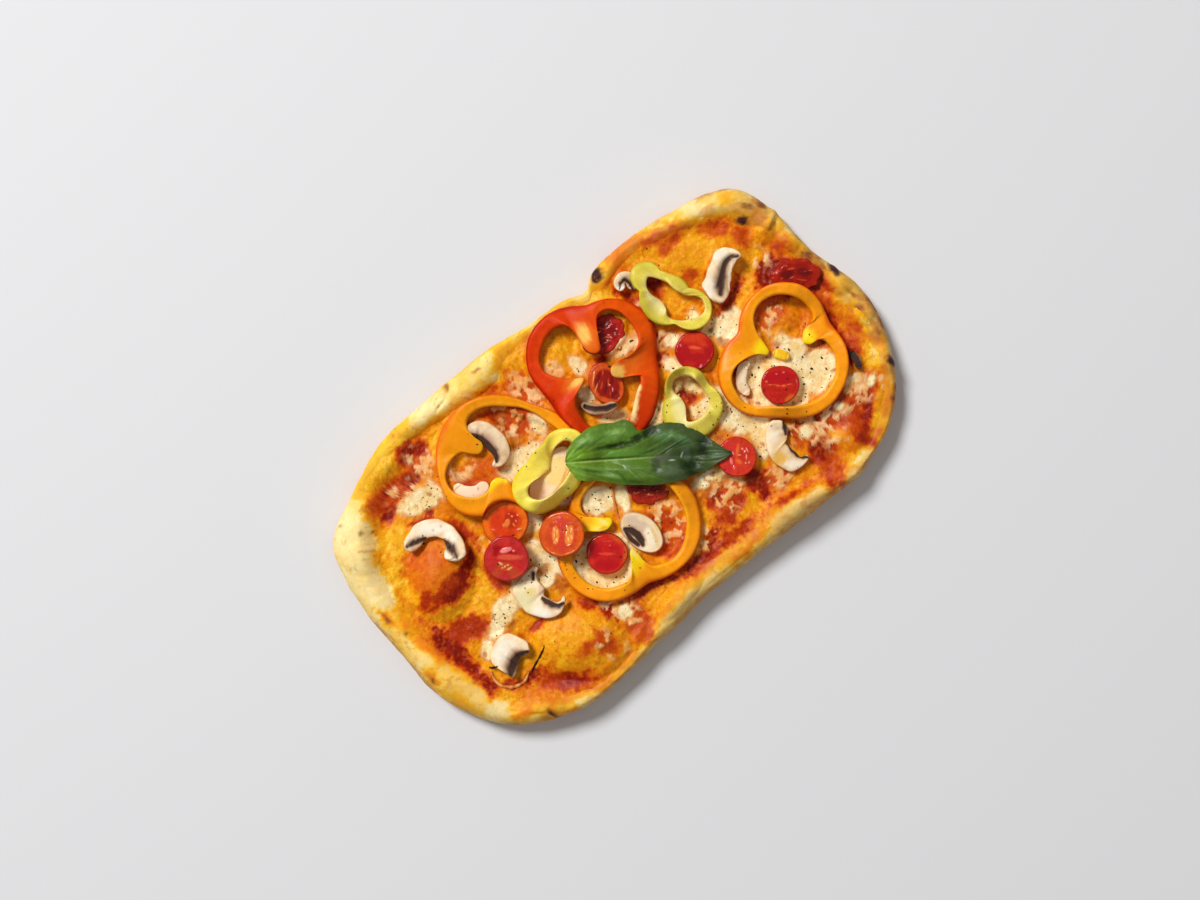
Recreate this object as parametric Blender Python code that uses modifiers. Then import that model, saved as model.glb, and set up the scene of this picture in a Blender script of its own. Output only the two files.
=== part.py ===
"""A baked pinsa: an oval Roman flatbread with tomato sauce and melted cheese, bell pepper
and chilli rings, tomato and mushroom slices and a basil leaf.

Metres, +Z up. The long axis lies along X and the underside rests on z = 0. The design is
worked out in millimetres and turned into metres when each mesh is written."""

import math

import bmesh
import bpy
import numpy as np
from mathutils import Vector
from mathutils.bvhtree import BVHTree

MM = 0.001

# Driving dimensions, in millimetres
LENGTH = 320.0
WIDTH = 185.5
CRUMB_HEIGHT = 11.5        # dough under the middle of the topping
CREST_LOW = 14.5           # crest of a rim that has no width
CREST_GAIN = 0.32          # what each millimetre of rim width adds to the crest
CREST_PLACE = 0.38         # crest, as a share of the way from the topping to the outer edge
RIM_SIDE = 7.5             # height at which the rim is widest
RIM_SWELL = 1.2            # how far the crest rises and falls round the rim
CLIMB = 17.0               # width of the slope from the crumb up to the rim
DOME_POWER = 1.15          # how bluntly a blister ends at its foot
HEEL_INSET = 1.6           # the rim's side just above the underside
HEEL_HEIGHT = 3.2
FOOT_INSET = 6.5           # the flat underside ends this far inside the outer edge
TOPPING = 2.3              # mean thickness of the sauce and cheese
TOPPING_EDGE = 1.0
TOPPING_SWELL = 0.7
GAP = 0.3                  # clear space between pieces that touch
PEPPER_HEIGHT = 5.5
CHILLI_HEIGHT = 4.5
MUSHROOM_HEIGHT = 4.2
LEAF_THICKNESS = 0.8
LEAF_BULGE = 2.4

# Facets
AROUND = 64
TOPPING_RINGS = 12
CURVE_STEPS = 24
RING_BLEND = 18            # how sharply the lobes of a pepper ring meet
RING_SAMPLES = 720
RING_STATIONS = 50
CHILLI_STATIONS = 32
RELIEF_STEP = 1.5
RAISE_STEP = 0.25
RAISE_TRIES = 40
SEED = 7

# Corners of the outer edge, counter-clockwise from the upper left end
OUTLINE = (
    (-120, 81), (-149, 65), (-159, 25), (-159, -5), (-158, -36), (-141, -69), (-113, -87),
    (-79, -91.5), (-4, -88), (41, -90), (78, -92), (97, -92), (127, -79.5), (145, -62),
    (158, -35), (160, -12), (153, 18), (152.5, 44), (145, 68), (130, 78), (105, 84),
    (80, 87.5), (56, 86.5), (45.5, 81), (34, 84.5), (10, 87.5), (-16, 92), (-53, 92.5),
    (-89, 92),
)

# Bare rim outside the topping: bearing in degrees, width in millimetres
RIM_WIDTHS = (
    (-180, 14), (-168, 19), (-156, 14), (-144, 11), (-132, 5), (-120, 11), (-108, 12.5),
    (-90, 11.5), (-72, 11), (-63, 15), (-54, 20), (-46, 12), (-36, 4), (-24, 7),
    (-12, 10.5), (-5, 12.5), (6, 6.5), (18, 12.5), (27, 18.5), (36, 14), (48, 9.5),
    (54, 13.5), (62, 5), (84, 4), (96, 7), (111, 16), (130, 14.5), (144, 3), (150, 16),
    (156, 24.5), (168, 16.5),
)

# Blisters and swellings of the dough: x, y, two radii, bearing of the first radius, height
BUBBLES = (
    (-115, 14, 19, 25, -41, 9.5),
    (-80, -61, 28, 22, -41, 8.5),
    (105, 58, 30, 22, -41, 5.0),
    (118, -1, 9, 9, 0, 2.0),
    (11, 66, 10, 9, 0, 2.0),
    (104.5, -72, 11, 9, 0, 3.0),
    (-25, -77.5, 18, 7, 5, 3.5),
    (-98, 80, 20, 9, 0, 3.0),
    (139.5, 43, 9, 7, 40, 2.5),
    (144.5, 29, 8, 7, 0, 2.0),
    (152, -6, 8, 7, 0, 2.0),
    (151, -27, 8, 6, 0, 2.0),
    (144, -53, 9, 7, 60, 2.5),
    (-141, 50, 13, 9, -60, 2.0),
    (-120, -73, 15, 7, -30, 2.0),
)

# Pepper rings: centre, lobes as (bearing, offset, radius), wall, height, and inner ribs as
# (foot, tip, half width)
PEPPERS = {
    "pepper_orange_left": (
        (-46.5, 42.5), ((-40, 16, 26), (148, 3, 33), (-174, 23.5, 15)), 8.0, PEPPER_HEIGHT,
        (((-62.5, 61), (-50.5, 53), 4.5), ((-62, 18), (-53, 28), 8.0)), "pepper_orange"),
    "pepper_red": (
        (25.5, 43.5), ((-129, 7.5, 30.5), (25, 14, 23.5), (118, 16, 26.5), (-114, 19, 23)),
        8.0, PEPPER_HEIGHT,
        (((1, 54), (14, 44.5), 4.5), ((44, 21.5), (29.5, 37), 7.5), ((38, 69), (28.5, 56.5), 4.0),
         ((33, 15), (22, 17.5), 4.0)), "pepper_red"),
    "chilli_green_top": (
        (77.5, 49.5), ((-74, 14.5, 11.5), (102, 15.5, 8.5), (-158, 3, 14)), 4.5, CHILLI_HEIGHT,
        (((66, 52), (72.5, 52), 7.0),), "chilli_green"),
    "pepper_orange_right": (
        (101, -15), ((43, 16.5, 24), (-179, 12, 24.5), (-69, 9, 29)), 7.0, PEPPER_HEIGHT,
        (((94, -3), (97.5, -9.5), 4.0), ((127, -15), (116.5, -17.5), 5.0)), "pepper_orange"),
    "pepper_orange_front": (
        (-23.5, -31), ((-170, 14.5, 27), (76, 11, 24.5), (-20, 11, 31.5)), 7.0, PEPPER_HEIGHT,
        (((-38.5, -13), (-26, -20.5), 4.0), ((-31, -54), (-27.5, -41), 4.0)), "pepper_orange"),
    "chilli_green_middle": (
        (47.5, -3), ((-122, 3.5, 15.5), (46, 8.5, 12)), 5.2, CHILLI_HEIGHT,
        (((36, 2), (41, 0), 3.0),), "chilli_green"),
    "chilli_yellow_left": (
        (-31, 15.5), ((185, 11, 13.8), (20, 12.5, 11), (0, 0, 13.5)), 5.4, CHILLI_HEIGHT,
        (), "chilli_yellow"),
}

# Slices that lie flat: centre, two radii, bearing of the first radius, height
TOMATOES = {
    "tomato_1": ((68.4, 17.5), 10.7, 10.7, 0, 6.0),
    "tomato_2": ((91.3, -26.2), 10.5, 10.5, 0, 6.0),
    "tomato_3": ((48.3, -40.5), 10.8, 10.8, 0, 6.0),
    "tomato_4": ((-69.2, 13.7), 12.7, 12.3, 0, 6.0),
    "tomato_5": ((-80.6, -1.2), 12.3, 12.3, 0, 6.0),
    "tomato_6": ((-49.9, -10.5), 12.3, 12.3, 0, 6.0),
    "tomato_7": ((-38.3, -34.3), 11.3, 11.3, 0, 6.0),
    "tomato_8": ((21, 34.5), 12.3, 9.5, 80, 5.0),
    "tomato_9": ((36.5, 56), 14.5, 10.0, 0, 4.5),
    "tomato_10": ((1, -21), 12.5, 9.0, -41, 3.5),
    "tomato_11": ((136, 13.5), 14.0, 9.0, -41, 4.0),
}
MUSHROOM_DISCS = {
    "mushroom_7": ((-16.7, -38), 13.3, 8.9, -84, MUSHROOM_HEIGHT),
    "mushroom_10": ((-35, 16.2), 12.5, 4.6, 14, 3.0),
}

# Crescents: points along the middle, half width, height
MUSHROOM_BANDS = {
    "mushroom_1": (((96, 29.5), (99, 34.5), (105, 39.5), (112, 43.5), (118, 43.5)), 7.2,
                   MUSHROOM_HEIGHT),
    "mushroom_2": (((59.8, 67.5), (61, 71), (64.5, 72.6), (67.3, 70), (65.5, 64)), 3.0, 3.6),
    "mushroom_3": (((-54, 64.5), (-47, 63), (-43, 58.5), (-42.3, 52), (-43, 46), (-46, 40.5),
                    (-50, 38.5)), 4.8, MUSHROOM_HEIGHT),
    "mushroom_4": (((-116, 37), (-111, 39.5), (-104, 39.3), (-98.5, 35), (-96.3, 29),
                    (-96.5, 22.5), (-100, 18.5)), 4.7, MUSHROOM_HEIGHT),
    "mushroom_5": (((-74, -14), (-82, -14.5), (-88, -20), (-88.3, -27), (-85.5, -33.5),
                    (-81, -38.5), (-75, -40.5)), 4.2, 3.8),
    "mushroom_6": (((-122, -46), (-118, -39.5), (-110, -36.5), (-104, -41)), 6.3,
                   MUSHROOM_HEIGHT),
    "mushroom_8": (((76, -39.5), (69.5, -44.5), (66.8, -52), (68, -60), (72.5, -65),
                    (78.5, -66.5)), 4.3, 3.8),
    "mushroom_9": (((-62.5, 36), (-69, 36), (-73.5, 38.5), (-76.3, 42.5), (-76, 47)), 3.2, 3.6),
    "mushroom_11": (((4, 35), (7, 29.5), (11, 25.5), (17, 23)), 2.8, 3.2),
    "mushroom_12": (((87, -5.5), (82.5, -5.5), (78.5, -9), (75.5, -13.5), (75, -19.5)), 2.5, 3.2),
    "mushroom_13": (((132, -37.5), (131.7, -43), (129.5, -48)), 2.2, 3.2),
}
PEPPER_BIT = (((100, -10.8), (102.3, -14.2), (104.8, -18.2)), 2.6, 3.0)

# What lies under something else is laid first
LAYING_ORDER = (
    "tomato_1", "tomato_2", "tomato_3", "tomato_4", "tomato_7", "tomato_8", "tomato_9",
    "tomato_10", "tomato_11", "mushroom_2", "mushroom_4", "mushroom_5", "mushroom_6",
    "mushroom_7", "mushroom_8", "mushroom_9", "mushroom_10", "mushroom_11", "mushroom_12",
    "mushroom_13", "pepper_bit", "tomato_5", "pepper_orange_left", "mushroom_3", "pepper_red",
    "chilli_green_top", "mushroom_1", "pepper_orange_right", "pepper_orange_front",
    "chilli_green_middle", "chilli_yellow_left", "tomato_6",
)

# Basil leaf: base, tip, and half widths at shares of its length on either side
LEAF_BASE = (-24.5, 15.5)
LEAF_TIP = (47.5, -36.5)
LEAF_LEFT = (
    (0.0, 1.2), (0.02, 8), (0.085, 14), (0.145, 18.2), (0.22, 21.4), (0.32, 20.3), (0.38, 20.8),
    (0.436, 19.2), (0.5, 15), (0.55, 16.2), (0.635, 17.3), (0.714, 16), (0.778, 13.8),
    (0.847, 10.9), (0.906, 6.4), (1.0, 0.6),
)
LEAF_RIGHT = (
    (0.0, 1.2), (0.11, 8.4), (0.21, 10.6), (0.32, 13), (0.45, 14.4), (0.58, 14.2), (0.69, 13),
    (0.81, 10.7), (0.916, 8.2), (1.0, 0.6),
)
LEAF_GRID = (18, 6)
LEAF_SPREAD = 7.0          # how far the leaf keeps clear of what it bridges
LEAF_SMOOTHING = 7
LEAF_LIFT = 0.5

# Base colour, roughness
MATERIALS = {
    "baked_dough": ((0.78, 0.55, 0.26), 0.75),
    "melted_topping": ((0.74, 0.34, 0.05), 0.4),
    "pepper_orange": ((0.87, 0.31, 0.02), 0.3),
    "pepper_red": ((0.75, 0.06, 0.01), 0.3),
    "chilli_green": ((0.56, 0.58, 0.06), 0.35),
    "chilli_yellow": ((0.80, 0.66, 0.08), 0.35),
    "tomato": ((0.60, 0.03, 0.015), 0.25),
    "mushroom": ((0.72, 0.60, 0.47), 0.6),
    "basil": ((0.04, 0.12, 0.015), 0.4),
}


def smoothstep(value):
    """Smooth rise from 0 to 1."""
    value = np.clip(value, 0.0, 1.0)
    return value * value * (3.0 - 2.0 * value)


def value_noise(x, y, cell, seed):
    """Smooth noise from -1 to 1 whose bumps are about one cell wide."""
    table = np.random.default_rng(seed).uniform(-1.0, 1.0, (64, 64))
    u = np.asarray(x, float) / cell
    v = np.asarray(y, float) / cell
    column = np.floor(u).astype(int)
    row = np.floor(v).astype(int)
    across = smoothstep(u - column)
    along = smoothstep(v - row)
    near = table[row % 64, column % 64] * (1 - across) + table[row % 64, (column + 1) % 64] * across
    far = (table[(row + 1) % 64, column % 64] * (1 - across)
           + table[(row + 1) % 64, (column + 1) % 64] * across)
    return near * (1 - along) + far * along


def spline(points, steps, closed):
    """Points along a smooth curve through the given ones."""
    points = np.asarray(points, float)
    if closed:
        padded = np.vstack([points[-1:], points, points[:2]])
    else:
        padded = np.vstack([2 * points[:1] - points[1:2], points, 2 * points[-1:] - points[-2:-1]])
    share = np.linspace(0.0, 1.0, steps, endpoint=False)[:, None]
    pieces = []
    for a, b, c, d in zip(padded, padded[1:], padded[2:], padded[3:]):
        pieces.append(0.5 * (2 * b + (c - a) * share + (2 * a - 5 * b + 4 * c - d) * share ** 2
                             + (3 * b - a - 3 * c + d) * share ** 3))
    if not closed:
        pieces.append(points[-1:])
    return np.vstack(pieces)


def resample(curve, count, closed):
    """The curve again, as points an equal distance apart."""
    if closed:
        curve = np.vstack([curve, curve[:1]])
    steps = np.hypot(*np.diff(curve, axis=0).T)
    travelled = np.concatenate([[0.0], np.cumsum(steps)])
    wanted = np.linspace(0.0, travelled[-1], count, endpoint=not closed)
    return np.stack([np.interp(wanted, travelled, curve[:, axis]) for axis in (0, 1)], axis=1)


def left_normals(curve, closed):
    """Unit vectors to the left of the direction of travel."""
    if closed:
        ahead = np.roll(curve, -1, axis=0) - np.roll(curve, 1, axis=0)
    else:
        ahead = np.gradient(curve, axis=0)
    ahead = ahead / np.hypot(ahead[:, 0], ahead[:, 1])[:, None]
    return np.stack([-ahead[:, 1], ahead[:, 0]], axis=1)


def outer_edge():
    """The outer edge as a curve that fills the driving length and width, and its polar form."""
    curve = spline(OUTLINE, CURVE_STEPS, True)
    low = curve.min(axis=0)
    high = curve.max(axis=0)
    curve = (curve - (low + high) / 2) * np.array([LENGTH, WIDTH]) / (high - low)
    bearing = np.arctan2(curve[:, 1], curve[:, 0])
    order = np.argsort(bearing)
    return curve, bearing[order], np.hypot(curve[:, 0], curve[:, 1])[order]


EDGE_CURVE, EDGE_BEARING, EDGE_RADIUS = outer_edge()
RIM_TABLE = spline(RIM_WIDTHS + ((180, 14),), CURVE_STEPS, False)


def edge_radius(bearing):
    """Distance from the centre to the outer edge."""
    return np.interp(bearing, EDGE_BEARING, EDGE_RADIUS, period=2 * math.pi)


def topping_radius(bearing):
    """Distance from the centre to the edge of the topping."""
    rim = np.interp(np.degrees(bearing), RIM_TABLE[:, 0], RIM_TABLE[:, 1])
    return edge_radius(bearing) - np.maximum(rim, 2.0)


def dough_height(x, y):
    """Height of the dough's upper side, bare rim and blisters included."""
    bearing = np.arctan2(y, x)
    radius = np.hypot(x, y)
    outer = edge_radius(bearing)
    inner = topping_radius(bearing)
    width = outer - inner
    crest_at = inner + CREST_PLACE * width
    crest = (CREST_LOW + CREST_GAIN * width
             + RIM_SWELL * value_noise(np.cos(bearing) * 100, np.sin(bearing) * 100, 28, SEED))
    rise = smoothstep((radius - crest_at + CLIMB) / CLIMB)
    height = CRUMB_HEIGHT + (crest - CRUMB_HEIGHT) * rise
    height = height + (1 - rise) * value_noise(x, y, 22, SEED + 1)
    fall = np.clip((radius - crest_at) / np.maximum(outer - crest_at, 0.1), 0.0, 1.0)
    height = RIM_SIDE + (height - RIM_SIDE) * (1 - fall ** 2.2) ** 0.6
    for at_x, at_y, long_radius, short_radius, turn, rise_by in BUBBLES:
        cosine = math.cos(math.radians(turn))
        sine = math.sin(math.radians(turn))
        along = ((x - at_x) * cosine + (y - at_y) * sine) / long_radius
        across = ((y - at_y) * cosine - (x - at_x) * sine) / short_radius
        dome = np.clip(1 - along ** 2 - across ** 2, 0.0, 1.0) ** DOME_POWER
        height = height + rise_by * dome * (1 - fall ** 2)
    return height


def topping_thickness(x, y):
    """Thickness of the sauce and cheese, thicker where the cheese has pooled."""
    pools = 0.6 * value_noise(x, y, 16, SEED + 2) + 0.4 * value_noise(x, y, 8, SEED + 3)
    return TOPPING + TOPPING_SWELL * pools


class Relief:
    """The highest surface laid so far, sampled on a square grid, in millimetres."""

    def __init__(self):
        reach = LENGTH / 2 + 10
        breadth = WIDTH / 2 + 10
        self.columns = np.arange(-reach, reach, RELIEF_STEP)
        self.rows = np.arange(-breadth, breadth, RELIEF_STEP)
        self.top = np.zeros((len(self.rows), len(self.columns)))
        self.trees = []

    def add(self, mesh):
        """Take a mesh's upper side into account."""
        vertices, tree = mesh_tree(mesh)
        low = vertices.min(axis=0)
        high = vertices.max(axis=0)
        first_column, last_column = np.searchsorted(self.columns, (low[0], high[0]))
        first_row, last_row = np.searchsorted(self.rows, (low[1], high[1]))
        for row in range(first_row, last_row):
            for column in range(first_column, last_column):
                start = Vector((self.columns[column], self.rows[row], high[2] + 1))
                hit = tree.ray_cast(start, Vector((0, 0, -1)))[0]
                if hit is not None:
                    self.top[row, column] = max(self.top[row, column], hit.z)
        self.trees.append((low, high, tree))

    def spread(self, reach):
        """Copy of the grid in which every point takes the highest value within reach."""
        steps = int(math.ceil(reach / RELIEF_STEP))
        wide = self.top.copy()
        for down in range(-steps, steps + 1):
            for side in range(-steps, steps + 1):
                if math.hypot(down, side) * RELIEF_STEP <= reach:
                    wide = np.maximum(wide, np.roll(self.top, (down, side), axis=(0, 1)))
        return wide

    def sample(self, x, y, grid=None):
        """Highest of the four grid points round each place."""
        grid = self.top if grid is None else grid
        column = np.clip(((x - self.columns[0]) / RELIEF_STEP).astype(int), 0, len(self.columns) - 2)
        row = np.clip(((y - self.rows[0]) / RELIEF_STEP).astype(int), 0, len(self.rows) - 2)
        return np.maximum.reduce([grid[row, column], grid[row + 1, column],
                                  grid[row, column + 1], grid[row + 1, column + 1]])

    def blend(self, x, y, grid):
        """Smooth value between the four grid points round each place."""
        u = np.clip((x - self.columns[0]) / RELIEF_STEP, 0, len(self.columns) - 1.001)
        v = np.clip((y - self.rows[0]) / RELIEF_STEP, 0, len(self.rows) - 1.001)
        column = u.astype(int)
        row = v.astype(int)
        across = u - column
        along = v - row
        near = grid[row, column] * (1 - across) + grid[row, column + 1] * across
        far = grid[row + 1, column] * (1 - across) + grid[row + 1, column + 1] * across
        return near * (1 - along) + far * along

    def clears(self, mesh):
        """Whether the mesh crosses nothing that is laid already."""
        vertices, tree = mesh_tree(mesh)
        low = vertices.min(axis=0)
        high = vertices.max(axis=0)
        for other_low, other_high, other in self.trees:
            if (low < other_high).all() and (other_low < high).all() and tree.overlap(other):
                return False
        return True


def mesh_tree(mesh):
    """A mesh's vertices in millimetres and a search tree of its triangles."""
    vertices = np.empty(len(mesh.vertices) * 3)
    mesh.vertices.foreach_get("co", vertices)
    vertices = vertices.reshape(-1, 3) / MM
    faces = [tuple(face.vertices) for face in mesh.polygons]
    return vertices, BVHTree.FromPolygons(vertices.tolist(), faces)


def sphere_grid(around, down):
    """A sphere primitive, with each vertex's column round it and ring below the top pole."""
    bm = bmesh.new()
    bmesh.ops.create_uvsphere(bm, u_segments=around, v_segments=down, radius=1.0)
    places = np.array([vertex.co for vertex in bm.verts])
    turn = np.arctan2(places[:, 1], places[:, 0]) / (2 * math.pi) * around
    columns = np.rint(turn).astype(int) % around
    rings = np.rint(np.arccos(np.clip(places[:, 2], -1, 1)) / math.pi * down).astype(int)
    return bm, columns, rings


def write_mesh(name, bm, places):
    """Turn a primitive whose vertices have new places, in millimetres, into a mesh."""
    for vertex, place in zip(bm.verts, places):
        vertex.co = Vector(place) * MM
    bmesh.ops.triangulate(bm, faces=bm.faces, quad_method="SHORT_EDGE")
    bmesh.ops.recalc_face_normals(bm, faces=bm.faces)
    mesh = bpy.data.meshes.new(name)
    bm.to_mesh(mesh)
    bm.free()
    return mesh


def add_piece(name, mesh, material, collection, parent):
    """An object for a mesh, with its material, smooth where it is round."""
    mesh.shade_smooth()
    mesh.set_sharp_from_angle(angle=math.radians(50))
    mesh.materials.append(material)
    piece = bpy.data.objects.new(name, mesh)
    piece.parent = parent
    collection.objects.link(piece)
    return piece


def rim_bearings():
    """Bearings of points an equal distance apart along the outer edge."""
    points = resample(EDGE_CURVE, AROUND, True)
    return np.arctan2(points[:, 1], points[:, 0])


TOPPING_SHARES = tuple(0.975 * step / TOPPING_RINGS for step in range(1, TOPPING_RINGS + 1)) + (1.0,)
RIM_SHARES = (0.2, 0.42, 0.68, 0.88, 1.0)


def make_dough_mesh():
    """The baked dough: a sphere whose rings follow the crumb, the rim and the flat underside."""
    profile_count = len(TOPPING_SHARES) + len(RIM_SHARES)
    bm, columns, rings = sphere_grid(AROUND, profile_count + 3)
    bearing = rim_bearings()[columns]
    outer = edge_radius(bearing)
    inner = topping_radius(bearing)
    radius = np.zeros(len(rings))
    for ring, share in enumerate(TOPPING_SHARES, start=1):
        radius = np.where(rings == ring, inner * share, radius)
    for ring, share in enumerate(RIM_SHARES, start=len(TOPPING_SHARES) + 1):
        radius = np.where(rings == ring, inner + (outer - inner) * share, radius)
    radius = np.where(rings == profile_count + 1, outer - HEEL_INSET, radius)
    radius = np.where(rings == profile_count + 2, outer - FOOT_INSET, radius)
    x = radius * np.cos(bearing)
    y = radius * np.sin(bearing)
    z = dough_height(x, y)
    z = np.where(rings == profile_count, RIM_SIDE, z)
    z = np.where(rings == profile_count + 1, HEEL_HEIGHT, z)
    z = np.where(rings >= profile_count + 2, 0.0, z)
    return write_mesh("dough", bm, np.stack([x, y, z], axis=1))


def make_topping_mesh():
    """Sauce and melted cheese: one layer over the crumb, up onto the foot of the rim."""
    ring_count = len(TOPPING_SHARES)
    bm, columns, rings = sphere_grid(AROUND, 2 * ring_count)
    bearing = rim_bearings()[columns]
    below = rings > ring_count
    level = np.where(below, 2 * ring_count - rings, rings)
    share = np.array((0.0,) + TOPPING_SHARES)[level]
    radius = topping_radius(bearing) * share
    x = radius * np.cos(bearing)
    y = radius * np.sin(bearing)
    floor = dough_height(x, y) + GAP
    fade = smoothstep((1 - share) / 0.12)
    thickness = TOPPING_EDGE + (topping_thickness(x, y) - TOPPING_EDGE) * fade
    z = floor + np.where(below, 0.0, thickness)
    z = np.where(level == ring_count, floor + TOPPING_EDGE / 2, z)
    return write_mesh("melted_topping", bm, np.stack([x, y, z], axis=1))


def rounded(angle, squareness):
    """Cosine and sine of a rounded square instead of a circle."""
    cosine = np.cos(angle)
    sine = np.sin(angle)
    return (np.sign(cosine) * np.abs(cosine) ** squareness,
            np.sign(sine) * np.abs(sine) ** squareness)


def widen(values, closed):
    """Highest of each value and its neighbours along a band, evened out."""
    mode = "wrap" if closed else "edge"
    wide = np.pad(values, 1, mode=mode)
    wide = np.maximum(np.maximum(wide[:-2], wide[1:-1]), wide[2:])
    wide = np.pad(wide, 1, mode=mode)
    return np.maximum(values, (wide[:-2] + 2 * wide[1:-1] + wide[2:]) / 4)


def lay_band(inner, outer, relief, closed):
    """Heights of a band's underside along its two edges, so that it lies on what is there."""
    across = np.linspace(-0.05, 1.05, 9)[:, None, None]
    under = None
    for shift in (-0.5, -0.25, 0.0, 0.25, 0.5):
        step = -1 if shift > 0 else 1
        near = inner + (np.roll(inner, step, axis=0) - inner) * abs(shift)
        far = outer + (np.roll(outer, step, axis=0) - outer) * abs(shift)
        if not closed:
            edge = 0 if step == 1 else -1
            near[edge] = inner[edge]
            far[edge] = outer[edge]
        points = near + (far - near) * across
        heights = relief.sample(points[..., 0], points[..., 1])
        under = heights if under is None else np.maximum(under, heights)
    near = widen(under[:5].max(axis=0), closed)
    far = widen(under[4:].max(axis=0), closed)
    line = near + (far - near) * across[:, :, 0]
    lift = widen(np.maximum((under - line).max(axis=0), 0.0), closed)
    return near + lift + GAP, far + lift + GAP


def ring_curves(centre, lobes, wall, ribs, count):
    """Outer and inner edges of a pepper ring: blended circles, with the ribs inside."""
    bearing = np.linspace(0.0, 2 * math.pi, RING_SAMPLES, endpoint=False)
    reach = np.zeros(RING_SAMPLES)
    for turn, offset, radius in lobes:
        off = bearing - math.radians(turn)
        chord = np.maximum(radius ** 2 - (offset * np.sin(off)) ** 2, 1.0)
        exit_at = np.maximum(offset * np.cos(off) + np.sqrt(chord), 1.0)
        reach = reach + exit_at ** RING_BLEND
    reach = reach ** (1 / RING_BLEND)
    curve = np.asarray(centre) + np.stack([np.cos(bearing), np.sin(bearing)], axis=1) * reach[:, None]
    outer = resample(curve, count, True)
    uneven = 1 + 0.12 * value_noise(outer[:, 0], outer[:, 1], 14, SEED + 4)
    inner = outer + left_normals(outer, True) * (wall * uneven)[:, None]
    spacing = np.hypot(*(outer[1] - outer[0]))
    for foot, tip, half_width in ribs:
        root = int(np.argmin(np.hypot(*(inner - np.asarray(foot)).T)))
        steps = np.abs((np.arange(count) - root + count // 2) % count - count // 2)
        share = np.clip(1 - steps * spacing / (half_width + spacing), 0.0, 1.0)[:, None]
        inner = inner + (np.asarray(tip) - inner[root]) * share
    return inner, outer


def make_ring_mesh(name, relief):
    """A pepper ring: a torus whose section follows the wall of the slice."""
    centre, lobes, wall, height, ribs, _ = PEPPERS[name]
    count = RING_STATIONS if wall > 6 else CHILLI_STATIONS
    inner, outer = ring_curves(centre, lobes, wall, ribs, count)
    near, far = lay_band(inner, outer, relief, True)
    bpy.ops.mesh.primitive_torus_add(major_segments=count, minor_segments=6,
                                     major_radius=1.0, minor_radius=0.25)
    primitive = bpy.context.active_object
    bm = bmesh.new()
    bm.from_mesh(primitive.data)
    source = primitive.data
    bpy.data.objects.remove(primitive)
    bpy.data.meshes.remove(source)
    places = np.array([vertex.co for vertex in bm.verts])
    turn = np.arctan2(places[:, 1], places[:, 0]) / (2 * math.pi) * count
    column = np.rint(turn).astype(int) % count
    section = np.arctan2(places[:, 2], np.hypot(places[:, 0], places[:, 1]) - 1)
    across, up = rounded(section, 0.6)
    across = (across + 1) / 2
    plan = inner[column] + (outer - inner)[column] * across[:, None]
    floor = near[column] + (far - near)[column] * across
    z = floor + (up + 1) / 2 * height
    return write_mesh(name, bm, np.column_stack([plan, z]))


def make_disc_mesh(name, centre, long_radius, short_radius, turn, height, relief):
    """A stiff slice that lies flat on the slope beneath it: a sphere pressed into a disc."""
    bm, columns, rings = sphere_grid(16, 6)
    squareness = 0.4
    side, up = rounded(math.pi / 2 - rings * math.pi / 6, squareness)
    bearing = columns / 16 * 2 * math.pi
    reach = 1 + 0.04 * value_noise(np.cos(bearing) * 9 + centre[0], np.sin(bearing) * 9, 6, SEED + 5)
    along = np.cos(bearing) * side * reach * long_radius
    across = np.sin(bearing) * side * reach * short_radius
    cosine = math.cos(math.radians(turn))
    sine = math.sin(math.radians(turn))
    x = centre[0] + along * cosine - across * sine
    y = centre[1] + along * sine + across * cosine
    span = np.linspace(-1.0, 1.0, 15)
    grid_along, grid_across = np.meshgrid(span, span)
    inside = np.hypot(grid_along, grid_across) <= 1.0
    foot_x = centre[0] + (grid_along * long_radius * cosine - grid_across * short_radius * sine)[inside]
    foot_y = centre[1] + (grid_along * long_radius * sine + grid_across * short_radius * cosine)[inside]
    under = relief.sample(foot_x, foot_y)
    design = np.column_stack([foot_x - centre[0], foot_y - centre[1], np.ones(len(foot_x))])
    slope_x, slope_y, level = np.linalg.lstsq(design, under, rcond=None)[0]
    level += (under - design @ np.array([slope_x, slope_y, level])).max()
    z = level + GAP + slope_x * (x - centre[0]) + slope_y * (y - centre[1]) + (up + 1) / 2 * height
    return write_mesh(name, bm, np.stack([x, y, z], axis=1))


def make_band_mesh(name, middle, half_width, height, relief):
    """A crescent slice: a sphere drawn out along the line through its middle."""
    along = 9
    section = 8
    bm, columns, rings = sphere_grid(section, along)
    middle = resample(spline(middle, CURVE_STEPS, False), along + 1, False)
    taper = np.sin(np.linspace(0.06, 0.94, along + 1) * math.pi) ** 0.6
    normal = left_normals(middle, False) * (half_width * taper)[:, None]
    near, far = lay_band(middle - normal, middle + normal, relief, False)
    across, up = rounded(columns / section * 2 * math.pi, 0.7)
    end = (rings == 0) | (rings == along)
    across = np.where(end, 0.0, across)
    up = np.where(end, 0.0, up)
    plan = middle[rings] + normal[rings] * across[:, None]
    floor = near[rings] + (far - near)[rings] * (across + 1) / 2
    z = floor + (up + 1) / 2 * height
    return write_mesh(name, bm, np.column_stack([plan, z]))


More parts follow.
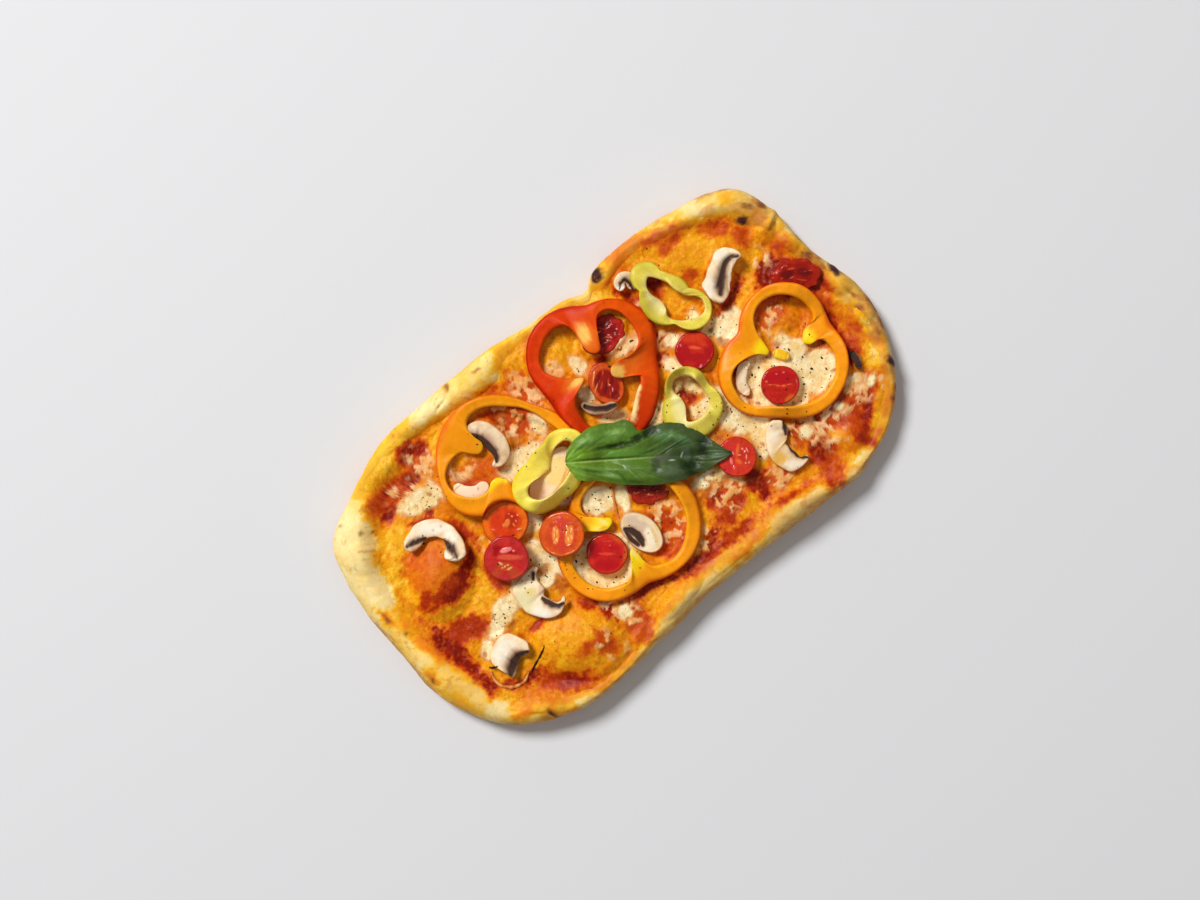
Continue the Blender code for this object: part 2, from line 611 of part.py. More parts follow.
def make_leaf_mesh(relief):
    """The leaf's lower face: a grid drawn to the leaf's width and draped over the rings."""
    base = np.asarray(LEAF_BASE)
    axis = np.asarray(LEAF_TIP) - base
    length = np.hypot(*axis)
    axis = axis / length
    side = np.array([-axis[1], axis[0]])
    bm = bmesh.new()
    bmesh.ops.create_grid(bm, x_segments=LEAF_GRID[0], y_segments=LEAF_GRID[1], size=1.0)
    places = np.array([vertex.co for vertex in bm.verts])
    share = (places[:, 0] + 1) / 2
    left = np.interp(share, *np.array(LEAF_LEFT).T)
    right = np.interp(share, *np.array(LEAF_RIGHT).T)
    reach = np.where(places[:, 1] > 0, left, right) * places[:, 1]
    plan = base + axis * (share * length)[:, None] + side * reach[:, None]
    grid = relief.spread(LEAF_SPREAD)
    for _ in range(LEAF_SMOOTHING):
        grid = sum(np.roll(grid, step, axis=0) for step in (-1, 0, 1)) / 3
        grid = sum(np.roll(grid, step, axis=1) for step in (-1, 0, 1)) / 3
    bulge = np.sin(np.abs(places[:, 1]) * math.pi) * np.sin(share * math.pi) * LEAF_BULGE
    z = relief.blend(plan[:, 0], plan[:, 1], grid) + LEAF_LIFT + bulge
    return write_mesh("basil_leaf", bm, np.column_stack([plan, z]))


def raise_until_clear(mesh, relief):
    """Lift a piece in small steps until it crosses nothing beneath it."""
    for _ in range(RAISE_TRIES):
        if relief.clears(mesh):
            return
        for vertex in mesh.vertices:
            vertex.co.z += RAISE_STEP * MM
    raise RuntimeError(mesh.name + " still crosses what it lies on")


def make_slice_mesh(name, relief):
    """The mesh of one ring, disc or crescent, and the name of its material."""
    if name in PEPPERS:
        return make_ring_mesh(name, relief), PEPPERS[name][-1]
    if name in TOMATOES:
        return make_disc_mesh(name, *TOMATOES[name], relief), "tomato"
    if name in MUSHROOM_DISCS:
        return make_disc_mesh(name, *MUSHROOM_DISCS[name], relief), "mushroom"
    if name in MUSHROOM_BANDS:
        return make_band_mesh(name, *MUSHROOM_BANDS[name], relief), "mushroom"
    return make_band_mesh(name, *PEPPER_BIT, relief), "chilli_yellow"


def make_materials():
    """One plain material for each kind of food."""
    made = {}
    for name, (colour, roughness) in MATERIALS.items():
        material = bpy.data.materials.new(name)
        material.use_nodes = True
        shader = material.node_tree.nodes["Principled BSDF"]
        shader.inputs["Base Color"].default_value = (*colour, 1.0)
        shader.inputs["Roughness"].default_value = roughness
        made[name] = material
    return made


def main():
    for item in list(bpy.data.objects):
        bpy.data.objects.remove(item)
    collection = bpy.data.collections.new("pinsa")
    bpy.context.scene.collection.children.link(collection)
    parent = bpy.data.objects.new("pinsa_origin", None)
    collection.objects.link(parent)
    materials = make_materials()
    relief = Relief()
    dough = make_dough_mesh()
    relief.add(dough)
    add_piece("dough", dough, materials["baked_dough"], collection, parent)
    topping = make_topping_mesh()
    relief.add(topping)
    add_piece("melted_topping", topping, materials["melted_topping"], collection, parent)
    for name in LAYING_ORDER:
        mesh, kind = make_slice_mesh(name, relief)
        raise_until_clear(mesh, relief)
        relief.add(mesh)
        add_piece(name, mesh, materials[kind], collection, parent)
    leaf = make_leaf_mesh(relief)
    raise_until_clear(leaf, relief)
    piece = add_piece("basil_leaf", leaf, materials["basil"], collection, parent)
    thickness = piece.modifiers.new("thickness", "SOLIDIFY")
    thickness.thickness = LEAF_THICKNESS * MM
    thickness.offset = 1.0


main()
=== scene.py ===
"""The looks of the pinsa: a detailed piece for every solid of the frame, the floor, light and camera.

Worked out in millimetres, in the frame's own axes, and turned into metres when a mesh is written."""

import math

import bpy
import numpy as np
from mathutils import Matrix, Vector
from mathutils.bvhtree import BVHTree


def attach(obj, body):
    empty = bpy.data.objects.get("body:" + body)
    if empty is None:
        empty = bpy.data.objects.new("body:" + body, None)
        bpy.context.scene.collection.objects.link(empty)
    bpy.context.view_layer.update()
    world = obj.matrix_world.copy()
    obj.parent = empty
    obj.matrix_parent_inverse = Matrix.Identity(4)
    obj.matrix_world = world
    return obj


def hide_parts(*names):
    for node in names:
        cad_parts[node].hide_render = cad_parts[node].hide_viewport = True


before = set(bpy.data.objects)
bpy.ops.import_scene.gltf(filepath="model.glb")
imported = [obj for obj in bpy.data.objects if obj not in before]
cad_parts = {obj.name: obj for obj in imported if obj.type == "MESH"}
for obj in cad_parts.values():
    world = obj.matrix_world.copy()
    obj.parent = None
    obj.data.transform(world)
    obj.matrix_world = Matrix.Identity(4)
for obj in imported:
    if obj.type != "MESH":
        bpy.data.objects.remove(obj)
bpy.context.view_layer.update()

MM = 0.001
SEED = 7

# Camera and light
CAMERA_AT = (-4.95, 10.3, 915.0)
CAMERA_TURN = -40.75           # the photo's roll, in degrees
CAMERA_LENS = 50.0
KEY_AT = (-260.0, 2600.0, 2900.0)
KEY_SIZE = 1.2
KEY_POWER = 150.0
FILL_AT = (500.0, -900.0, 1100.0)
FILL_SIZE = 1.4
FILL_POWER = 1.0
WORLD_STRENGTH = 0.26
WORLD_COLOUR = (1.0, 0.99, 0.97, 1.0)
FLOOR_COLOUR = (222, 222, 224)
FLOOR_REACH = 3000.0

# The solids' own driving sizes
LENGTH = 320.0
WIDTH = 185.5
CRUMB_HEIGHT = 11.5
CREST_LOW = 14.5
CREST_GAIN = 0.32
CREST_PLACE = 0.38
RIM_SIDE = 7.5
RIM_SWELL = 1.2
CLIMB = 17.0
DOME_POWER = 1.15
FOOT_INSET = 6.5
TOPPING = 2.3
TOPPING_SWELL = 0.7
GAP = 0.3
PEPPER_HEIGHT = 5.5
CHILLI_HEIGHT = 4.5
CURVE_STEPS = 24
RING_BLEND = 18

# Facets
DOUGH_AROUND = 1000
TOPPING_GRID = (404, 242)
RING_STATIONS = 420
RING_SECTION = 32
DISC_AROUND = 120
DISC_RINGS = 44
BAND_STATIONS = 110
BAND_SECTION = 44
LEAF_GRID = (190, 96)
MAP_STEP = 0.8
LEAF_SOFTENING = 10
TUBE_STATIONS = 60
TUBE_SECTION = 10
FLAKE_SIDES = 7

# Outer edge of the dough, scaled to its length and width
OUTLINE = (
    (-120, 81), (-149, 65), (-159, 25), (-159, -5), (-158, -36), (-141, -69), (-113, -87),
    (-79, -91.5), (-4, -88), (41, -90), (78, -92), (97, -92), (127, -79.5), (145, -62), (158, -35),
    (160, -12), (153, 18), (152.5, 44), (145, 68), (130, 78), (105, 84), (80, 87.5), (56, 86.5),
    (45.5, 81), (34, 84.5), (10, 87.5), (-16, 92), (-53, 92.5), (-89, 92),
)
# Width of the bare rim by bearing, in degrees
RIM_WIDTHS = (
    (-180, 14), (-168, 19), (-156, 14), (-144, 11), (-132, 5), (-120, 11), (-108, 12.5),
    (-90, 11.5), (-72, 11), (-63, 15), (-54, 20), (-46, 12), (-36, 4), (-24, 7), (-12, 10.5),
    (-5, 12.5), (6, 6.5), (18, 12.5), (27, 18.5), (36, 14), (48, 9.5), (54, 13.5), (62, 5), (84, 4),
    (96, 7), (111, 16), (130, 14.5), (144, 3), (150, 16), (156, 24.5), (168, 16.5),
)
# Blisters: centre, two radii, bearing of the first radius, height
BUBBLES = (
    (-115, 14, 19, 25, -41, 9.5),
    (-80, -61, 28, 22, -41, 8.5),
    (105, 58, 30, 22, -41, 5.0),
    (118, -1, 9, 9, 0, 2.0),
    (11, 66, 10, 9, 0, 2.0),
    (104.5, -72, 11, 9, 0, 3.0),
    (-25, -77.5, 18, 7, 5, 3.5),
    (-98, 80, 20, 9, 0, 3.0),
    (139.5, 43, 9, 7, 40, 2.5),
    (144.5, 29, 8, 7, 0, 2.0),
    (152, -6, 8, 7, 0, 2.0),
    (151, -27, 8, 6, 0, 2.0),
    (144, -53, 9, 7, 60, 2.5),
    (-141, 50, 13, 9, -60, 2.0),
    (-120, -73, 15, 7, -30, 2.0),
)

# In each table of marks a spot is a centre, two radii and the bearing of the first radius, which is
# left out where it is 0. Colours are as the eye sees them, from 0 to 255

# Rings: centre, lobes of the outer edge (bearing, offset, radius), height, edge of the hole, slot.
# A third number at a point of the hole says that it is on a rib and how pale the rib is there
RINGS = {
    "pepper_orange_left": ((-46.5, 42.5), ((-40, 16, 26), (148, 3, 33), (-174, 23.5, 15)),
        PEPPER_HEIGHT, ((-15, 33), (-17, 42), (-19, 49), (-23, 56), (-29, 62), (-35, 67),
        (-41, 69.5), (-47, 69.5), (-51, 66, 0), (-51.5, 60, 0), (-50.5, 55, 0.1), (-52, 52, 0.3),
        (-55.5, 51.2, 0.2), (-58.5, 53.5, 0), (-61, 57, 0), (-66, 58.8, 0), (-72.5, 57),
        (-77, 53.5), (-79, 48.5), (-78.5, 43), (-75, 37.5), (-70.5, 34), (-66, 32.8, 0),
        (-62.5, 33.8, 0.5), (-60, 35.3, 0.8), (-56.5, 35, 0.8), (-53.5, 32, 0.5), (-52.5, 28, 0.1),
        (-53.5, 22, 0), (-51, 13), (-44, 8.5), (-35, 7.5), (-26, 10), (-18, 15), (-15, 23)),
        "pepper_orange"),
    "pepper_red": ((25.5, 43.5), ((-129, 7.5, 30.5), (25, 14, 23.5), (118, 16, 26.5),
        (-114, 19, 23)), PEPPER_HEIGHT, ((-1, 25), (-0.5, 31), (1, 36), (4, 40, 0), (8, 42, 0),
        (12, 43.5, 0), (13.5, 45.5, 0), (10, 48, 0), (5.5, 52, 0), (1.5, 57.5, 0), (0, 62),
        (1.5, 67), (6, 71.5), (12, 74.8), (18, 75.8), (23.4, 74, 0), (25.6, 69.5, 0),
        (25.2, 63.5, 0), (24.2, 58, 0), (24.8, 53.5, 0), (27.2, 50.6, 0), (30.5, 51, 0),
        (33, 54.8, 0), (36, 60, 0), (40, 65, 0), (46, 65), (50.5, 60.5), (52, 54), (51.5, 47),
        (49, 41.5, 0), (44, 38.6, 0), (38, 38.6, 0), (33, 40.2, 0), (28, 39.6, 0), (26, 36, 0),
        (28.5, 32.5, 0), (33, 30, 0), (37, 27.5), (35.5, 24, 0), (31, 21.5, 0), (26, 18, 0),
        (20.5, 14, 0), (14, 12), (7, 14), (1.5, 19)), "pepper_red"),
    "chilli_green_top": ((77.5, 49.5), ((-74, 14.5, 11.5), (102, 15.5, 8.5), (-158, 3, 14),
        (140, 7, 8.8)), CHILLI_HEIGHT, ((71.4, 60.5), (74.8, 63.6), (78, 60.5), (80.8, 55.5),
        (81.6, 49.5), (84.2, 43.5), (88, 40), (89.4, 35.5), (87.5, 31.2), (83.5, 29.8),
        (78.5, 31.6), (73.5, 34.8), (70.3, 38.5), (69.9, 41.8), (71.8, 45, 0.9), (72.4, 50, 1),
        (70.9, 55.5, 0.8)), "chilli_green"),
    "pepper_orange_right": ((101, -15), ((43, 16, 24), (-179, 12, 24.5), (-69, 9, 29)),
        PEPPER_HEIGHT, ((101, 5), (103, 9), (106.5, 12), (112, 13.8), (118, 13), (123, 10),
        (127, 5.5), (129.5, 0), (130, -6), (128.8, -10), (126, -12, 0), (122, -12, 0.1),
        (119, -13.5, 0.6), (116, -17, 0.8), (118, -20.5, 0.5), (121.5, -20.8, 0.1), (124.5, -22.5),
        (125.5, -26), (125, -31), (122.5, -36), (118, -41), (112, -44), (105, -45.5), (97, -44),
        (91, -41), (85, -36.5), (79, -31), (73.5, -26), (70.5, -20), (71, -14), (72.5, -8.5),
        (76, -4.8), (81, -3.2), (86, -3.6, 0), (90.5, -4.8, 0), (94, -7, 0.5), (96.5, -9.6, 0.8),
        (98.8, -8.8, 0.8), (99.6, -4.5, 0.6), (100, 0, 0.1)), "pepper_orange"),
    "pepper_orange_front": ((-23.5, -31), ((-170, 14.5, 27), (76, 11, 24.5), (-20, 11, 31.5)),
        PEPPER_HEIGHT, ((-33, -7), (-30, -3.6), (-25, -1.8), (-18, -1), (-10, -1.5), (-3, -5),
        (4, -12), (8.5, -20), (10.6, -29), (9.8, -39), (6.5, -47), (1, -53.5), (-6, -58),
        (-13, -59.5), (-19, -58), (-24, -55), (-25.8, -50, 0.2), (-25.6, -45, 0.9), (-26.2, -41, 1),
        (-28.8, -42, 1), (-31.5, -46, 0.9), (-35, -50.5, 0.2), (-39, -52.5), (-45, -51.5),
        (-51, -48), (-55.5, -42), (-57.2, -35), (-56.5, -28), (-52.5, -21.5), (-46.5, -18),
        (-41, -17.5, 0), (-37, -19.5, 0.3), (-33.5, -23, 0.9), (-29.5, -24.6, 1), (-25.5, -23.6, 1),
        (-24.6, -21, 1), (-27.5, -18.6, 1), (-31.5, -16, 0.6), (-33.6, -11.5, 0.1)),
        "pepper_orange"),
    "chilli_green_middle": ((47.5, -3), ((-122, 3.5, 15.5), (61, 8.7, 12), (-50, 4.5, 13)),
        CHILLI_HEIGHT, ((46.8, 10.5), (49.8, 12.6), (53.8, 12), (57.2, 9), (58.4, 4), (58.6, -1),
        (57.6, -6), (54.6, -10.4), (49.5, -12), (44, -11), (40.8, -8.5, 0.7), (42.6, -5.5, 1),
        (45.4, -1.5, 1), (46.2, 3, 1), (45.8, 7.3, 0.8)), "chilli_green"),
    "chilli_yellow_left": ((-31, 17.5), ((185, 11.5, 14.4), (20, 12.5, 12.6), (0, 0, 15.2)),
        CHILLI_HEIGHT, ((-49.5, 15.5), (-48, 19), (-44, 20.8), (-38, 20.3), (-33, 20.2),
        (-29.5, 22), (-26.5, 25.3), (-22, 27), (-17, 26.8), (-14, 24.5), (-14, 21), (-17, 17),
        (-22, 13.5), (-28, 11), (-34, 9.5), (-41, 9.2), (-46.5, 11.3)), "chilli_yellow"),
}
# Colours of a ring's skin, cut face, inner wall and the tip of a rib
RING_COLOURS = {
    "pepper_orange": ((230, 106, 2), (247, 152, 8), (251, 170, 16), (253, 214, 14)),
    "pepper_red": ((178, 26, 0), (214, 56, 6), (224, 78, 10), (253, 208, 92)),
    "chilli_green": ((198, 182, 40), (224, 204, 78), (236, 218, 122), (240, 226, 150)),
    "chilli_yellow": ((228, 202, 40), (246, 224, 84), (248, 232, 120), (248, 232, 140)),
}
# Colours that the right of the red ring's face and skin turn to
RED_FACE = (228, 84, 8)
RED_SKIN = (208, 58, 4)
# Marks on a ring: colour, strength, softness and spots
RING_MARKS = {
    "pepper_orange_front": (
        ((246, 226, 120), 0.8, 1.6, ((-29, -20, 1.6, 2.4, 30), (-33, -21.4, 1.6, 1.2),
            (-27.4, -44, 1, 2))),
        ((228, 150, 30), 0.7, 1.2, ((-31, -22.6, 1.6, 1), (-27, -18.8, 1, 1)))),
    "pepper_red": (
        ((236, 112, 26), 0.8, 3.0, ((29, 61, 6, 9), (38, 34, 9, 4.5, 20), (8, 46, 8, 4, -20))),
        ((250, 196, 92), 0.95, 2.0, ((28.8, 62.5, 3, 5.4, -15), (29.5, 36, 3.6, 4.4),
            (9.5, 46.2, 4, 2.2, -10))),
        ((252, 224, 150), 0.9, 1.4, ((25, 16, 9, 1.5, 37), (32, 21.8, 2.6, 1.5, 30)))),
}
# A slice that the outer edge of a ring bends round: centre and radius
RING_BENDS = {"pepper_orange_left": (-69.2, 13.7, 12.4)}

# Tomato slices: centre, two radii, bearing of the first radius, height
TOMATOES = {
    "tomato_1": ((68.4, 17.5), 10.9, 10.5, 20, 6.0),
    "tomato_2": ((91.3, -26.2), 10.5, 10.5, 0, 6.0),
    "tomato_3": ((48.3, -40.5), 10.8, 10.8, 0, 6.0),
    "tomato_4": ((-69.2, 13.7), 12.7, 12.3, 0, 6.0),
    "tomato_5": ((-80.6, -1.2), 12.3, 12.3, 0, 6.0),
    "tomato_6": ((-49.9, -10.5), 12.3, 12.3, 0, 6.0),
    "tomato_7": ((-38.3, -34.3), 11.3, 11.3, 0, 6.0),
    "tomato_8": ((20.8, 35), 12.3, 8.8, 80, 5.0),
    "tomato_9": ((37, 56), 13.0, 9.5, 0, 4.0),
    "tomato_10": ((1, -21), 12.5, 9.0, -41, 3.5),
    "tomato_11": ((136, 13.5), 14.0, 9.0, -41, 3.2),
}
SUNK_TOMATOES = ("tomato_9", "tomato_10", "tomato_11")
# Colours of the heart, the flesh round it and the skin
TOMATO_COLOURS = {
    "tomato_1": ((198, 36, 26), (188, 28, 24), (160, 14, 14)),
    "tomato_2": ((196, 36, 20), (194, 34, 26), (170, 20, 16)),
    "tomato_3": ((216, 58, 34), (212, 54, 34), (186, 30, 20)),
    "tomato_4": ((220, 66, 20), (230, 108, 16), (206, 70, 10)),
    "tomato_5": ((204, 42, 36), (202, 48, 46), (176, 22, 26)),
    "tomato_6": ((206, 68, 30), (212, 84, 20), (190, 66, 12)),
    "tomato_7": ((198, 30, 28), (202, 42, 26), (176, 22, 18)),
    "tomato_8": ((152, 24, 12), (210, 84, 26), (190, 60, 16)),
    "tomato_9": ((150, 18, 14), (176, 34, 20), (140, 20, 10)),
    "tomato_10": ((150, 24, 10), (170, 40, 14), (140, 26, 8)),
    "tomato_11": ((150, 20, 4), (166, 30, 6), (150, 30, 4)),
}
# Marks on a slice, as the camera sees it: colour, strength, softness, height and spots, which are
# placed to the right of and up from the slice's middle. The palest pink marks are painted highlights
TOMATO_MARKS = {
    "tomato_1": (
        ((172, 14, 24), 0.8, 2.0, 0.0, ((-6, -1, 4, 5), (0, -3.5, 6, 2.5), (7.5, 0, 2.5, 5),
            (3, -8, 3, 3))),
        ((212, 60, 22), 0.8, 2.0, 0.1, ((-2, 6.5, 7, 2.2), (2, 8, 4, 2), (4, 4, 3, 1.6, -30))),
        ((234, 96, 46), 0.85, 0.9, 0.2, ((0.4, 1.3, 3.2, 0.9, -5),)),
        # painted highlights on the wet flesh
        ((240, 124, 124), 0.8, 0.5, 0.15, ((3.2, -8.2, 0.6, 1.1, -20), (-7.6, 2.6, 0.4, 0.7, 20)))),
    "tomato_2": (
        ((182, 12, 26), 0.85, 1.8, 0.0, ((0, 4, 8, 3.4), (-5, 3, 4, 3))),
        ((176, 26, 14), 0.6, 1.2, 0.0, ((1, -6.3, 5, 1.2), (-1, -3, 6, 0.9))),
        ((214, 100, 22), 0.8, 1.5, 0.0, ((5, -7.5, 3, 1.6, 40),)),
        ((240, 100, 54), 0.85, 0.5, 0.2, ((-4.5, -0.2, 2, 0.35), (-1, -0.5, 1.3, 0.5),
            (2, -0.6, 1.2, 0.6), (5, 0.2, 1.3, 0.3, 10), (-7.3, 1.5, 0.8, 0.6))),
        # painted highlights on the wet flesh
        ((240, 118, 118), 0.75, 0.5, 0.15, ((1.7, 6.5, 0.6, 0.4), (-2, 5.6, 0.6, 0.4),
            (8.8, 1.8, 0.3, 1, 10)))),
    "tomato_3": (
        ((186, 34, 20), 0.5, 1.6, -0.3, ((4.5, 1.8, 3.4, 4.4), (-3, -3, 2.4, 3.6))),
        ((204, 46, 48), 0.7, 2.0, 0.0, ((-4, 5, 3, 2.6), (-5.5, -7, 3, 3))),
        ((238, 108, 50), 0.85, 1.0, 0.1, ((1, -2.6, 1.7, 1.2, -30), (0.4, 3.4, 0.8, 3, -10))),
        # painted highlights on the wet gel, raised a little
        ((252, 168, 144), 0.85, 0.4, 0.25, ((5.4, 3.8, 0.35, 1.3, 25), (4.2, 3, 0.3, 1, -30),
            (2.8, 4.4, 0.5, 0.6), (5, 0, 0.35, 1.4), (1.4, 0.9, 0.7, 0.35), (6.4, -2.8, 0.4, 0.5),
            (4.6, -3.2, 0.4, 0.4))),
        ((252, 126, 124), 0.9, 0.5, 0.3, ((-3, -2.4, 0.75, 1.9, 10), (-2, 1.9, 0.5, 0.9, 30),
            (-1.6, -5.6, 0.4, 0.8, 10)))),
    "tomato_4": (
        ((178, 36, 8), 0.8, 1.8, -0.35, ((3.6, 1.8, 3.6, 4.6),)),
        ((202, 50, 16), 0.6, 1.4, -0.15, ((-4.4, 0.4, 2.6, 4, 20),)),
        ((238, 136, 54), 0.85, 0.9, 0.2, ((1, 0.2, 1.3, 2.2, -20), (-0.6, -1.2, 0.8, 0.8),
            (4.6, -0.8, 0.6, 1.1, 30))),
        # pale specks and painted highlights
        ((248, 160, 110), 0.9, 0.5, 0.25, ((3.8, 3.8, 0.5, 0.5), (6.6, 4.6, 0.5, 0.4),
            (2, 5, 0.4, 0.3), (-6.4, -3.5, 1.2, 0.35, -10), (7.4, -3.2, 1.3, 0.45, 15),
            (5.8, 1.2, 0.3, 0.7, 10)))),
    "tomato_5": (
        ((166, 8, 16), 0.85, 1.5, -0.3, ((-4.6, 5, 2.6, 2, -30), (-5.5, 2.2, 1.4, 2),
            (2.8, 3.2, 2.4, 1))),
        ((200, 82, 22), 0.8, 1.5, -0.3, ((-1, -3.8, 4.6, 2.2, -12),)),
        ((238, 94, 64), 0.8, 1.2, 0.1, ((1.5, 0.8, 7, 1.4),)),
        ((200, 80, 36), 0.7, 3.0, 0.0, ((5, -8.5, 4.5, 2.6, -35), (-6, -8, 3, 2, 40))),
        ((248, 176, 116), 0.9, 0.5, 0.3, ((-3.4, -2.6, 1.4, 0.8, -30), (-1, -4.2, 0.8, 0.5, 40),
            (1.6, -5.2, 1.6, 0.6, 30), (0.6, -3.3, 0.5, 0.45), (-2.4, -5, 0.5, 0.5))),
        # painted highlights on the wet gel
        ((252, 144, 138), 0.9, 0.6, 0.35, ((-0.4, 4.7, 3.2, 1.3, 14), (3.9, 4.2, 0.6, 0.6)))),
    "tomato_6": (
        ((210, 58, 44), 0.8, 1.5, 0.1, ((0, 6.5, 2, 4), (0.2, -6.5, 2.2, 3.5), (0, 0, 1, 3))),
        ((242, 142, 58), 0.85, 0.9, -0.3, ((-3.3, -0.2, 1.9, 4.6), (4.1, -0.2, 2.3, 5.4, -8))),
        ((214, 90, 18), 0.7, 0.4, -0.1, ((-3.2, 1, 0.4, 1.6, 10), (4.4, 1.8, 0.4, 1.4),
            (3.4, -1.2, 0.4, 1.2, 20), (-2.8, -2, 0.35, 1))),
        ((254, 184, 112), 0.85, 0.4, 0.25, ((-3.9, 2.6, 0.45, 1.3, 15), (-3.9, -0.6, 0.4, 1.2, -10),
            (-2.6, -3.4, 0.45, 1, 20), (-2.4, 0.6, 0.35, 1.1), (3.2, 3.4, 0.4, 1.5, 20),
            (5.2, 2, 0.4, 1.2, -15), (3.9, -2.8, 0.45, 1.4, 10), (5.4, -1.6, 0.4, 1, 10),
            (2.8, 0.2, 0.35, 1.2))),
        ((150, 20, 10), 0.8, 0.4, -0.1, ((0.4, 2.1, 0.5, 0.7),)),
        ((216, 92, 14), 0.7, 2.0, 0.0, ((10.5, -1, 2, 7),))),
    "tomato_7": (
        ((184, 14, 26), 0.8, 2.0, 0.0, ((0, -6.5, 7, 3), (-6, 2, 3, 4), (3, 3, 3, 1.4))),
        ((208, 88, 26), 0.8, 1.6, 0.0, ((5, 8.2, 5, 1.5, -35), (9.8, 0, 1.2, 6))),
        # a paler streak; its spot near the top edge is a painted highlight
        ((232, 80, 54), 0.8, 1.0, 0.2, ((0.3, -0.2, 3.6, 0.7), (-3.4, -0.1, 1, 0.4),
            (0, 6.6, 1.8, 0.3))),
        # painted highlights
        ((244, 130, 120), 0.7, 0.4, 0.15, ((-10, 1, 0.3, 1.6, -8), (1.4, 4.4, 0.4, 0.3)))),
    "tomato_8": (
        ((122, 8, 8), 0.8, 1.0, -0.2, ((-4, 3, 0.8, 4, -15), (0, -2, 1, 4, -10), (3, 2, 1, 3),
            (5, -6, 2.6, 2.6))),
        ((206, 84, 34), 0.7, 0.5, 0.1, ((-2, 6, 0.4, 1.6), (1, 0.4, 0.4, 1.8),
            (-2.6, -1, 0.4, 2, -15), (2.2, -5.4, 0.4, 1.4))),
        # painted highlight lines along the edge
        ((252, 164, 100), 0.85, 0.4, 0.3, ((-6.9, 3.2, 0.3, 3, -10), (-5.4, -1.8, 0.3, 2.2, -22))),
        # painted highlights
        ((252, 160, 166), 0.9, 0.4, 0.3, ((3.4, -3, 0.3, 1.1, 5), (1.8, -0.6, 0.5, 0.4)))),
    "tomato_9": (
        ((130, 10, 8), 0.8, 1.6, -0.2, ((-2, -2, 4, 2.4, 20), (5, 2, 3, 2, -20), (0, 5, 4, 1.6))),
        ((228, 96, 50), 0.7, 0.6, 0.1, ((-6, 2, 0.5, 2, 20), (2, -1, 2.4, 0.4, 30),
            (-2, 3.4, 1.8, 0.4, -10))),
        # painted highlights
        ((250, 150, 136), 0.85, 0.4, 0.3, ((-3, 1.2, 1.2, 0.4, 30), (4, -1.4, 0.8, 0.35, -20),
            (1, -4.4, 1, 0.3, 10), (7, 3, 0.5, 0.5)))),
    "tomato_10": (
        ((98, 8, 8), 0.8, 1.6, -0.2, ((-3, 1, 4, 2), (4, -1, 4, 1.6))),
        # painted highlights
        ((226, 110, 60), 0.8, 0.5, 0.2, ((-5, -3.4, 1.6, 0.4, 20), (2, -4.4, 2, 0.4),
            (6, -2.4, 0.8, 0.4, 30), (-1, -1.6, 0.7, 0.4)))),
    "tomato_11": (
        ((96, 6, 8), 0.8, 1.8, -0.2, ((-4, 0, 4, 2.4, 20), (5, 1, 4, 2, -10))),
        # painted highlights
        ((214, 76, 36), 0.7, 0.5, 0.2, ((-2, 3, 2, 0.5, 10), (4, -3, 2.4, 0.4, -10),
            (-7, -2, 1, 0.5, 30), (8, 2, 0.8, 0.4)))),
}

# Mushroom discs: centre, two radii, bearing of the first radius, height
MUSHROOM_DISCS = {
    "mushroom_7": ((-16.7, -38), 13.3, 8.9, -84, 4.2),
    "mushroom_10": ((-34, 17.6), 17.5, 8.6, 20, 3.0),
}

# Mushroom crescents: middle line, half width, height, darkness of the flesh
MUSHROOM_BANDS = {
    "mushroom_2": (((59.8, 67.5), (61, 71), (64.5, 72.6), (67.3, 70), (65.5, 64)), 3.2, 3.6, 0.1),
    "mushroom_9": (((-62.5, 36), (-69, 36), (-73.5, 38.5), (-76.3, 42.5), (-76, 47)), 3.8, 3.6,
        0.0),
    "mushroom_11": (((3.6, 36), (6, 30), (11, 25.5), (18, 22.8)), 2.8, 3.2, 1.0),
    "mushroom_12": (((87, -6), (82.5, -6.2), (78.5, -9.5), (75.5, -13.5), (75, -19.5)), 3.0, 3.0,
        0.0),
    "mushroom_13": (((132, -37.5), (131.7, -43), (129.5, -48)), 2.0, 2.6, 1.0),
}
